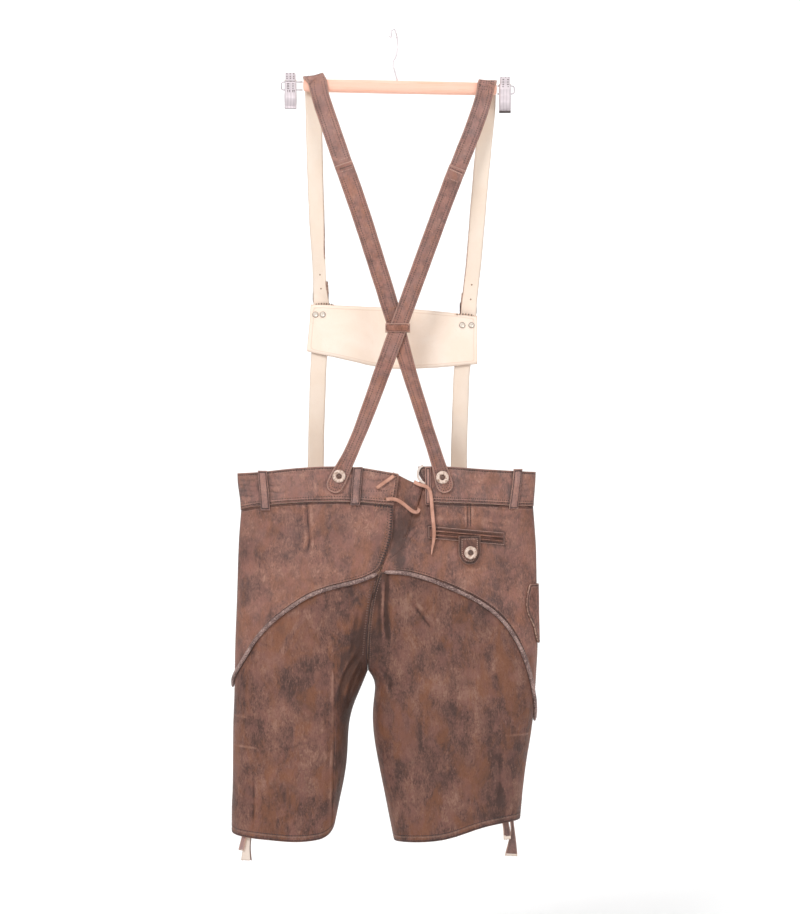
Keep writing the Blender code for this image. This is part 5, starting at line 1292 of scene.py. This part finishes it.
def turned(profile, steps):
    # bmesh turned round Z from (radius, height, finish) in mm, from the top middle outwards and under
    bm = bmesh.new()
    verts = [bm.verts.new((r * mm, 0, h * mm)) for r, h, _ in profile]
    edges = [bm.edges.new(pair) for pair in zip(verts, verts[1:])]
    bmesh.ops.spin(bm, geom=verts + edges, cent=(0, 0, 0), axis=(0, 0, 1), dvec=(0, 0, 0),
                   angle=math.tau, steps=steps, use_merge=True, use_duplicate=False)
    bmesh.ops.remove_doubles(bm, verts=bm.verts, dist=0.004 * mm)
    bmesh.ops.recalc_face_normals(bm, faces=bm.faces)
    radii = [r for r, _, _ in profile]
    for face in bm.faces:
        centre = face.calc_center_median()
        far, high = math.hypot(centre.x, centre.y) / mm, centre.z / mm
        near = min(range(len(profile) - 1), key=lambda k: abs((radii[k] + radii[k + 1]) / 2 - far) +
                   abs((profile[k][1] + profile[k + 1][1]) / 2 - high))
        face.material_index = profile[near][2]
    return bm


horn = Finish("hornRim", Specular_IOR_Level=0.5, Coat_Roughness=0.25)
at = horn.place()
cloud = horn.noise(at, 260, 4, 0.6, 0.4)
ray = horn.noise(at, 900, 3, 0.65)
horn.coat(cloud.rise(0.42, 0.66), rgb(158, 124, 105), rgb(216, 194, 180))
horn.coat(ray.rise(0.56, 0.74) * 0.6, rgb(128, 94, 78))
hornRim = horn.use(0.34 + (cloud - 0.5) * 0.3, cloud + ray * 0.5, 0.5, 0.25, Coat_Weight=(1 - ray) * 0.5)
horn = Finish("hornHeart", Specular_IOR_Level=0.45)
at = horn.place()
cloud = horn.noise(at, 420, 4, 0.7)
horn.coat(cloud.rise(0.4, 0.62), rgb(122, 92, 80), rgb(70, 50, 44))
horn.coat(horn.cells(at, 900).rise(0.22, 0.05), rgb(176, 150, 134))
hornHeart = horn.use(0.5 + (cloud - 0.5) * 0.4, cloud, 0.9, 0.5)
buttonForm = {"profile": [(0, 2.9, 1), (1.3, 2.8, 1), (2.1, 2.2, 1), (2.7, 1.5, 1), (3.5, 1.3, 1), (4.1, 1.7, 0),
                          (4.8, 2.9, 0), (6.0, 3.8, 0), (7.4, 4.0, 0), (8.7, 3.3, 0), (9.5, 2.2, 0), (9.7, 1.3, 0),
                          (9.2, 0.5, 0), (8.0, 0.15, 0), (0, 0.1, 0)],
              "studs": 18, "ring": 7.9, "high": 3.6, "stud": 0.85}
buttons = {"buttonBackLeft": "back_button_left", "buttonBackRight": "back_button_right",
           "buttonPocket": "pocket_button", "buttonWaist": "waist_button", "buttonFlapLeft": "flap_button_left",
           "buttonFlapRight": "flap_button_right", "buttonChestLeft": "chest_button_left",
           "buttonChestRight": "chest_button_right"}
for name, node in buttons.items():
    bm = turned(buttonForm["profile"], 48)
    if node.startswith(("pocket", "chest", "flap")):
        for k in range(buttonForm["studs"]):  # a beaded border
            turn = k / buttonForm["studs"] * math.tau
            ring = buttonForm["ring"] * mm
            spot = Matrix.Translation((ring * math.cos(turn), ring * math.sin(turn), buttonForm["high"] * mm))
            bmesh.ops.create_icosphere(bm, subdivisions=1, radius=buttonForm["stud"] * mm, matrix=spot)
    bmesh.ops.transform(bm, matrix=seat(node), verts=bm.verts)
    made = toPiece(name, bm, [hornRim, hornHeart])
    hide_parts(node)

steel = chrome("steelBright")
steelRibbed = chrome("steelRibbed", rgb(216, 205, 209), 0.5, ribs=True, metal=0.3)
steelWire = chrome("steelWire", rgb(186, 176, 180), 0.35, metal=0.6)
steelRing = chrome("steelRing", rgb(158, 142, 130), 0.4, 0.2, 0.5)
steelDull = chrome("steelDull", rgb(222, 212, 200), 0.3, 0.2, 0.5)
steelDark = chrome("steelDark", rgb(112, 92, 86), 0.5, 0.4, 0.8)
rivetForm = {"profile": [(0, 0.35, 0), (1.3, 0.4, 0), (1.9, 0.9, 0), (2.6, 1.5, 0), (3.5, 1.6, 0), (4.2, 1.1, 0),
                         (4.5, 0.4, 0), (4.3, 0.05, 0), (0, 0.05, 0)], "heart": 3.6}
for node in ("rivet_left_1", "rivet_left_2", "rivet_right_1", "rivet_right_2"):
    place = seat(node).translation.copy()
    place.y = max(v.co.y for v in nodes[node].data.vertices)
    bm = turned(rivetForm["profile"], 28)
    bmesh.ops.transform(bm, matrix=Matrix.Translation(place) @ Matrix.Rotation(math.pi / 2, 4, "X"), verts=bm.verts)
    for face in bm.faces:
        if (face.calc_center_median() - place).length > rivetForm["heart"] * mm:
            face.material_index = 1
    made = toPiece(camel("rivet", node, 1), bm, [steelDull, steelRing])
    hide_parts(node)

tucked = {"left": -3.2, "right": 1.0, "down": -3.0}  # the buckles hardly show beside the straps
tongue = {"foot": 0.9, "tip": 0.6, "share": 0.86, "deep": -0.4}
for side in ("left", "right"):
    bm = cadCopy("buckle_" + side)
    bmesh.ops.translate(bm, vec=(tucked[side] * mm, 0, tucked["down"] * mm), verts=bm.verts)
    made = smoothed(toPiece("buckle" + side.capitalize(), bm, [steelDark]), 1)
    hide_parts("buckle_" + side)
    low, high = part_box("buckle_" + side)
    bm = bmesh.new()
    bmesh.ops.create_cone(bm, cap_ends=True, segments=12, radius1=tongue["foot"] * mm, radius2=tongue["tip"] * mm,
                          depth=(high.z - low.z) * tongue["share"])
    bmesh.ops.translate(bm, vec=((low.x + high.x) / 2 + tucked[side] * mm, high.y + tongue["deep"] * mm,
                                 (low.z + high.z) / 2 + tucked["down"] * mm), verts=bm.verts)
    made = toPiece("tongue" + side.capitalize(), bm, [steelDark])
print("buttons, rivets and buckles made")


# hanger

pine = Finish("pine", Specular_IOR_Level=0.35)
at = pine.place((0, 0, 0), (0.05, 1, 1))
grain = pine.noise(at, 330, 4, 0.6, 1.2)
streak = pine.noise(pine.place((3, 1, 2), (0.03, 1, 1)), 120, 3, 0.5, 0.6)
pore = pine.noise(pine.place((0, 0, 0), (0.12, 1, 1)), 1500, 2, 0.5)
pine.coat(streak.rise(0.35, 0.65), rgb(240, 190, 170), rgb(235, 178, 156))
pine.coat(grain.rise(0.5, 0.7) * 0.5, rgb(228, 160, 126))
pine.coat(pore.rise(0.6, 0.8) * 0.35, rgb(204, 142, 108))
pineWood = pine.use(0.5 + (grain - 0.5) * 0.2, grain + pore * 0.4, 0.3, 0.2)
made = smoothed(toPiece("hangerBar", cadCopy("hanger_bar"), [pineWood]), 2)
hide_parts("hanger_bar")
for node in ("hanger_hook", "hanger_arm_left", "hanger_arm_right"):
    bm = cadCopy(node)
    markSides(bm, towardsBack)
    made = smoothed(toPiece(camel("hanger", node, 1), bm, [steel if node == "hanger_hook" else steelWire] * 3), 1)
    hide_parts(node)

rubber = plain("rubber", rgb(66, 58, 58), rgb(96, 86, 84), (500, 3, 0.6), rough=(0.7, 0.3), bump=(0.5, 0.2),
               Specular_IOR_Level=0.3)
# dark discs for the clip's holes: painted shade inside them
holeShade = plain("holeShade", rgb(58, 44, 42), rgb(78, 60, 56), Specular_IOR_Level=0.1)
holeBrown = plain("holeBrown", rgb(120, 84, 62), rgb(150, 110, 84), Specular_IOR_Level=0.1)
clip = {"jaw": [(8.5, 18.5), (7.6, 15.8), (5.2, 12.4), (2.6, 9.6), (2.1, 6.5), (2.1, -6.5), (3.2, -10.5), (5.6, -16),
                (6.3, -19.5), (5.6, -23.5), (3.2, -27.5), (1.5, -30), (1.5, -32), (2.3, -33.8)],
        "top": 15.0, "low": 17.8, "ribs": 8, "ribHigh": 0.4, "sheet": 0.7, "pivot": 8.2, "hold": -32.8, "below": 18.5,
        "ribbed": {"Left": 6.0, "Right": 3.0}, "pad": {"Left": 1.3, "Right": 3.2}, "padWide": 17.0, "padHigh": 2.8,
        "wider": 7.5, "widening": 2.5, "fold": 1.5, "foldFrom": 0.44, "foldWide": 0.06, "ribsTo": 0.46}
spring = {"pin": 1.0, "wide": 18.2, "coils": 9, "pitch": 1.5, "coil": 2.0, "wire": 1.1}


def disc(bm, spot, normal, radius, segments, flat=(1, 1)):
    # a thin plug for a hole, dark where it is painted shade inside the hole
    turn = normal.to_track_quat("Z", "X").to_matrix().to_4x4() @ Matrix.Diagonal((*flat, 1, 1))
    bmesh.ops.create_cone(bm, cap_ends=True, segments=segments, radius1=radius * mm, radius2=radius * mm,
                          depth=0.2 * mm, matrix=Matrix.Translation(spot) @ turn)


def rod(bm, x, z, radius, wide, segments):
    # a cylinder across the hanger
    bmesh.ops.create_cone(bm, cap_ends=True, segments=segments, radius1=radius * mm, radius2=radius * mm,
                          depth=wide * mm, matrix=Matrix.Translation((x * mm, 0, z * mm)) @ Matrix.Rotation(
                              math.pi / 2, 4, "Y"))


def clipPlate(x, z, out):
    # half a spring clip: a ribbed plate bent along the jaw's line
    rows = curved(clip["jaw"], 4)
    bm = bmesh.new()
    bmesh.ops.create_grid(bm, x_segments=40, y_segments=len(rows) - 1, size=0.5)
    for vert in bm.verts:
        k = round((vert.co.y + 0.5) * (len(rows) - 1))
        y, high = rows[k]
        lower = min(max((clip["wider"] - high) / clip["widening"], 0), 1)
        wide = clip["top"] + (clip["low"] - clip["top"]) * lower
        u = vert.co.x
        rib = (0.5 - 0.5 * math.cos((u + 0.5) * clip["ribs"] * math.tau)) * (1 if abs(u) < clip["ribsTo"] else 0)
        fold = clip["fold"] * max(0.0, (abs(u) - clip["foldFrom"]) / clip["foldWide"])  # turned side edges
        vert.co = Vector(((x + u * wide) * mm, out * (y + rib * clip["ribHigh"] * lower - fold) * mm, (z + high) * mm))
    bmesh.ops.recalc_face_normals(bm, faces=bm.faces)
    if sum(f.normal.y * f.calc_area() for f in bm.faces) * out < 0:
        bmesh.ops.reverse_faces(bm, faces=bm.faces)
    bmesh.ops.solidify(bm, geom=bm.faces, thickness=clip["sheet"] * mm)
    return bm


clips = {  # dots: across, height, width and height in millimetres
    "Left": ("hanger_clip_left", [(a, h, 1.7, 1.7) for a in (-5, 0, 5) for h in (16.8, 13.4, 10.8)] +
             [(0, 6.6, 15.0, 1.9)] + [(a, h, 4.4, 0.9) for a in (-3.4, 4.4) for h in (3.2, 0.8, -1.6, -4.0)] +
             [(a, h, 1.4, 1.6) for a in (-4, -1, 3, 5.5) for h in (-7.0, -9.2)]),
    "Right": ("hanger_clip_right", [(a, h, 2.6, 1.5) for a in (-2.6, 4.4) for h in (14.4, 11.2, 8.0, 4.6)] +
              [(-5.8, 17.2, 1.2, 0.8), (0.8, 17.2, 1.2, 0.8), (5.6, 17.2, 1.2, 0.8)])}
for side, (node, spots) in clips.items():
    low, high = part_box(node)
    x, z = (low.x + high.x) / 2 / mm, high.z / mm - clip["below"]
    for out, face in ((-1, "Back"), (1, "Front")):
        made = toPiece("clip" + side + face, clipPlate(x, z, out), [steelRibbed])
        co = points(made) / mm
        # the ribs' phase, for the painted shade in their valleys, up to the height given by ribbed
        phase = 0.5 - 0.5 * np.cos(((co[:, 0] - x) / clip["low"] + 0.5) * clip["ribs"] * math.tau)
        setAttribute(made, "rib", np.where(co[:, 2] < z + clip["ribbed"][side], phase, 1.0))
        made.data.set_sharp_from_angle(angle=math.radians(45))
        # the dots and slots are dark discs: painted shade in the holes
        bm = bmesh.new()  # punched dots and slots in the grip
        tree = BVHTree.FromObject(made, bpy.context.evaluated_depsgraph_get())
        for across, high, wide, tall in spots:
            spot = Vector(((x + across) * mm, out * 0.1, (z + high) * mm))
            hit, normal = tree.ray_cast(spot, Vector((0, -out, 0)))[:2]
            if hit is not None:
                disc(bm, hit, normal, 0.5, 16, (tall, wide))
        toPiece("clipDots" + side + face, bm, [holeShade], False)
    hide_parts(node)
    bm = bmesh.new()  # spring and its pin
    rod(bm, x, z + clip["pivot"], spring["pin"], spring["wide"], 16)
    for k in range(spring["coils"]):
        rod(bm, x - 6 + k * spring["pitch"], z + clip["pivot"], spring["coil"], spring["wire"], 20)
    toPiece("clipSpring" + side, bm, [steelDull])
    bm = bmesh.new()  # grip pads
    deep = clip["pad"][side]
    for out in (-1, 1):
        spot = Matrix.Translation((x * mm, out * (deep / 2 + 0.1) * mm, (z + clip["hold"]) * mm))
        size = (clip["padWide"] * mm, deep * mm, clip["padHigh"] * mm, 1)
        bmesh.ops.create_cube(bm, size=1.0, matrix=spot @ Matrix.Diagonal(size))
    bmesh.ops.bevel(bm, geom=bm.edges[:], offset=0.25 * mm, segments=2, profile=0.5, affect="EDGES", material=-1)
    toPiece("clipPads" + side, bm, [rubber])
holes = {"frontStrapLeft": [(-112, -365), (-110.5, -386)], "frontStrapRight": [(117.5, -380), (116, -402)],
         "bandBackLeft": [(-12.6, -702.2)]}
for name, spots in holes.items():  # punched through the leather
    bm = bmesh.new()
    tree = treeOf([cloth[name]])
    for x, z in spots:
        hit, normal = tree.ray_cast(Vector((x * mm, -0.4, z * mm)), Vector((0, 1, 0)))[:2]
        if hit is not None:
            disc(bm, hit, normal, 1.2, 14)
    toPiece("holes" + name[0].upper() + name[1:], bm, [holeBrown], False)
print("hanger and punched holes made")


# stitching

threadDark = thread("threadDark", rgb(40, 27, 26), rgb(66, 47, 43))
threadStrap = thread("threadStrap", rgb(46, 31, 29), rgb(74, 52, 47))
threadMid = thread("threadMid", rgb(92, 65, 57), rgb(124, 90, 79))
threadBrown = thread("threadBrown", rgb(110, 78, 68), rgb(156, 118, 104))
threadPale = thread("threadPale", rgb(188, 152, 136), rgb(222, 192, 176))


def within(**limits):
    # chooses points by their x, y or z in millimetres
    def chosen(p):
        return all((low is None or getattr(p, axis) >= low) and (high is None or getattr(p, axis) <= high)
                   for axis, (low, high) in limits.items())
    return chosen


gauges = {  # stitch length, width, gap and whether it lies across its row
    "band": (2.2, 1.6, 1.7, False), "bandAcross": (2.6, 1.5, 1.6, True), "bandFine": (2.2, 1.0, 1.3, False),
    "edge": (2.6, 1.1, 1.1, False), "strap": (1.9, 1.8, 1.5, False), "chest": (2.2, 1.1, 1.3, False),
    "bar": (2.8, 1.1, 1.1, False), "tab": (1.8, 1.5, 1.6, False), "tabFine": (1.5, 0.9, 1.2, False),
    "flap": (2.6, 1.0, 1.1, False), "knife": (2.0, 1.2, 1.2, False), "welt": (1.8, 1.1, 1.2, False),
    "keeper": (1.7, 1.0, 1.2, False), "ladder": (6.0, 2.1, 1.8, True), "short": (2.0, 1.4, 1.9, False),
    "yoke": (2.2, 1.5, 1.7, False), "leg": (2.4, 1.1, 1.1, False), "loop": (1.8, 1.2, 1.4, False),
    "hem": (2.4, 1.1, 1.2, False), "hemSecond": (2.4, 1.5, 1.8, False), "braid": (3.0, 1.9, 1.9, True),
    "slot": (2.0, 1.3, 1.3, False), "hook": (1.8, 1.3, 0.8, False), "bandShort": (2.0, 1.4, 1.6, False),
    "cross": (1.4, 0.8, 1.4, True), "line": (2.6, 1.3, -0.3, False), "linePale": (2.6, 1.1, -0.2, False),
    "teeth": (1.4, 0.7, 2.4, True), "fringe": (3.6, 1.7, 2.1, True)}
rims = [  # pieces, millimetres in from the edge, thread, where, gauge
    ("bandBackLeft bandBackRight", 3.2, threadDark, None, "band"),
    ("bandBackLeft", 6.8, threadDark, within(z=(None, -690)), "band"),
    ("bandBackRight", 6.8, threadDark, within(z=(None, -690)), "bandAcross"),
    ("bandBackLeft bandBackRight", 6.2, threadBrown, within(z=(-682, None)), "bandFine"),
    ("bandFrontLeft bandFrontRight", 3.0, threadDark, None, "edge"),
    ("strapToRight", 3.2, threadStrap, within(z=(None, -222)), "strap"),
    ("strapToLeft", 3.2, threadStrap, within(z=(None, -228)), "strap"),
    ("strapToRight", 7.0, threadStrap, within(z=(None, -222)), "strap"),
    ("strapToLeft", 7.4, threadStrap, within(z=(None, -228)), "strap"),
    ("frontStrapLeft", 3.2, threadStrap, within(y=(None, 8), z=(-196, None)), "strap"),
    ("frontStrapRight", 3.2, threadStrap, within(y=(None, 8), z=(-206, None)), "strap"),
    ("frontStrapLeft", 7.4, threadStrap, within(y=(None, 8), z=(-196, None)), "strap"),
    ("frontStrapRight", 7.4, threadStrap, within(y=(None, 8), z=(-206, None)), "strap"),
    ("frontStrapLeft frontStrapRight", 2.6, threadDark, within(y=(10, None)), "chest"),
    ("chestStrapLeft chestStrapRight", 2.6, threadDark, None, "chest"),
    ("breastBar", 4.0, threadDark, None, "bar"),
    ("pocketTab", 2.6, threadDark, None, "tab"),
    ("pocketTab", 5.0, threadPale, None, "tabFine"),
    ("frontFlap", 4.0, threadPale, None, "flap"),
    ("frontFlap", 7.0, threadPale, None, "flap"),
    ("knifePocket", 2.6, threadDark, None, "knife"),
    ("pocketWelt", 1.6, threadDark, None, "welt"),
    ("keeper", 2.0, threadDark, None, "keeper"),
    ("backYokeLeft", 3.4, threadDark, within(x=(-30, None), z=(-800, -708)), "ladder"),
    ("backYokeLeft", 8.4, threadDark, within(x=(-30, None), z=(-806, -716)), "short"),
    ("backYokeLeft", 3.4, threadDark, within(x=(None, -16), z=(-990, -745)), "yoke"),
    ("backYokeLeft", 7.0, threadDark, within(x=(-80, -16), z=(-990, -745)), "yoke"),
    ("backYokeRight", 3.4, threadDark, within(x=(8, None), z=(-1040, -780)), "yoke"),
    ("backYokeRight", 7.0, threadDark, within(x=(8, 60), z=(-1040, -780)), "yoke"),
    ("backLegRight", 3.4, threadBrown, within(x=(-60, 10), z=(-975, -815)), "leg"),
    ("frontLeft frontRight", 3.2, threadDark, within(z=(-1160, None)), "edge"),
    ("loopBack1 loopBack2 loopBack4 loopFrontLeft loopFrontRight", 2.8, threadBrown, within(z=(-704, -668)), "loop"),
]
for name in ("backLegLeft", "backLegRight", "frontLeft", "frontRight"):
    hem = within(z=(None, -1150 if name.startswith("back") else -1140))
    rims += [(name, 3.0, threadDark, hem, "hem"), (name, 9.5, threadDark, hem, "hemSecond")]
rims = [(name, *row) for names, *row in rims for name in names.split()]
for k, (name, inset, finish, want, gauge) in enumerate(rims):
    rows = rimRow(cloth[name], inset, want)
    sew(f"stitch{name[0].upper()}{name[1:]}{k}", [cloth[name]], rows, finish, gauges[gauge])
print("edge stitching made")


lines = [  # pieces, points across and up, thread, gauge
    ("backLegLeft backLegRight", [(-33, -822), (-38, -858), (-43, -900), (-46, -936)], threadMid, "braid"),
    ("backLegLeft backLegRight", [(-27.4, -822), (-32, -858), (-36.5, -900), (-39.5, -936)], threadMid, "braid"),
    ("backYokeRight", [(109.2, -708), (109.4, -744)], threadDark, "slot"),
    ("backYokeRight", [(113, -708), (113.2, -745)], threadDark, "slot"),
    ("backYokeLeft", [(-25, -712), (-16, -712), (-25, -708)], threadDark, "hook"),
    ("bandBackLeft", [(-50, -690), (-30, -691), (-6, -690)], threadDark, "bandShort"),
    ("frontStrapLeft", [(-82, -198), (-66, -192.5)], threadPale, "cross"),
    ("strapToRight", [(-80, -216), (-60, -209.5)], threadPale, "cross"),
    ("frontStrapLeft strapToRight", [(-81, -211.5), (-61, -205)], threadDark, "line"),
    ("frontStrapRight strapToLeft", [(83, -211.5), (104, -220.5)], threadPale, "linePale"),
    ("frontStrapRight strapToLeft", [(83.5, -209), (104, -218)], threadDark, "line"),
    ("strapToLeft", [(78, -224), (98, -232)], threadPale, "cross"),
    ("breastBar", [(-124, -484), (-104, -487), (-80, -491)], threadBrown, "teeth"),
    ("fringeLeft", fringes["Left"], threadDark, "fringe"), ("fringeRight", fringes["Right"], threadDark, "fringe"),
]
for k, (names, line, finish, gauge) in enumerate(lines):
    carriers = [cloth[name] for name in names.split()]
    sew(f"seam{names[0].upper()}{names.split()[0][1:]}{k}", carriers, castRow(carriers, line), finish, gauges[gauge])
print("seams made")




# floor and light

studio = {"floor": -1.46, "wall": 4.8, "round": 1.6, "wide": 14.0, "near": -6.0, "high": 5.0}
bm = bmesh.new()
side = [(studio["near"], studio["floor"]), (studio["wall"] - studio["round"], studio["floor"])]
for k in range(1, 12):
    turn = k / 12 * math.pi / 2
    side.append((studio["wall"] - studio["round"] * (1 - math.sin(turn)),
                 studio["floor"] + studio["round"] * (1 - math.cos(turn))))
side += [(studio["wall"], studio["floor"] + studio["round"]), (studio["wall"], studio["high"])]
verts = [bm.verts.new((-studio["wide"] / 2, y, z)) for y, z in side]
edges = [bm.edges.new(pair) for pair in zip(verts, verts[1:])]
drawn = bmesh.ops.extrude_edge_only(bm, edges=edges)["geom"]
bmesh.ops.translate(bm, vec=(studio["wide"], 0, 0), verts=[v for v in drawn if isinstance(v, bmesh.types.BMVert)])
bmesh.ops.recalc_face_normals(bm, faces=bm.faces)
mesh = bpy.data.meshes.new("backdrop")
bm.to_mesh(mesh)
bm.free()
backdrop = bpy.data.objects.new("backdrop", mesh)
scene.collection.objects.link(backdrop)
for polygon in mesh.polygons:
    polygon.use_smooth = True
paper = Finish("paper", Base_Color=rgb(252, 252, 252), Roughness=0.9)
mesh.materials.append(paper.material)


lamps = {  # place, what it points at, size and power
    "keyLight": ((-1.9, -2.8, 1.8), (0, 0, -0.7), (1.4, 1.4), 104),
    "fillLight": ((2.4, -2.6, 0.4), (0, 0, -0.7), (2.0, 2.4), 40),
    "topLight": ((0.0, -0.6, 2.6), (0, 0.6, -0.6), (3.0, 2.0), 30),
    "wallLight": ((0.0, 2.4, 3.4), (0, 4.8, -0.7), (5.0, 1.2), 110)}
surround = 0.42
for name, (place, target, size, power) in lamps.items():
    lamp = bpy.data.objects.new(name, bpy.data.lights.new(name, "AREA"))
    scene.collection.objects.link(lamp)
    lamp.data.shape = "RECTANGLE"
    lamp.data.size, lamp.data.size_y = size
    lamp.data.energy = power
    lamp.location = place
    lamp.rotation_euler = (Vector(target) - Vector(place)).to_track_quat("-Z", "Y").to_euler()
world = bpy.data.worlds.new("studio")
scene.world = world
world.use_nodes = True
background = world.node_tree.nodes["Background"]
background.inputs["Color"].default_value = (1, 1, 1, 1)
background.inputs["Strength"].default_value = surround
scene.view_settings.view_transform = "Standard"
print("floor and light made")
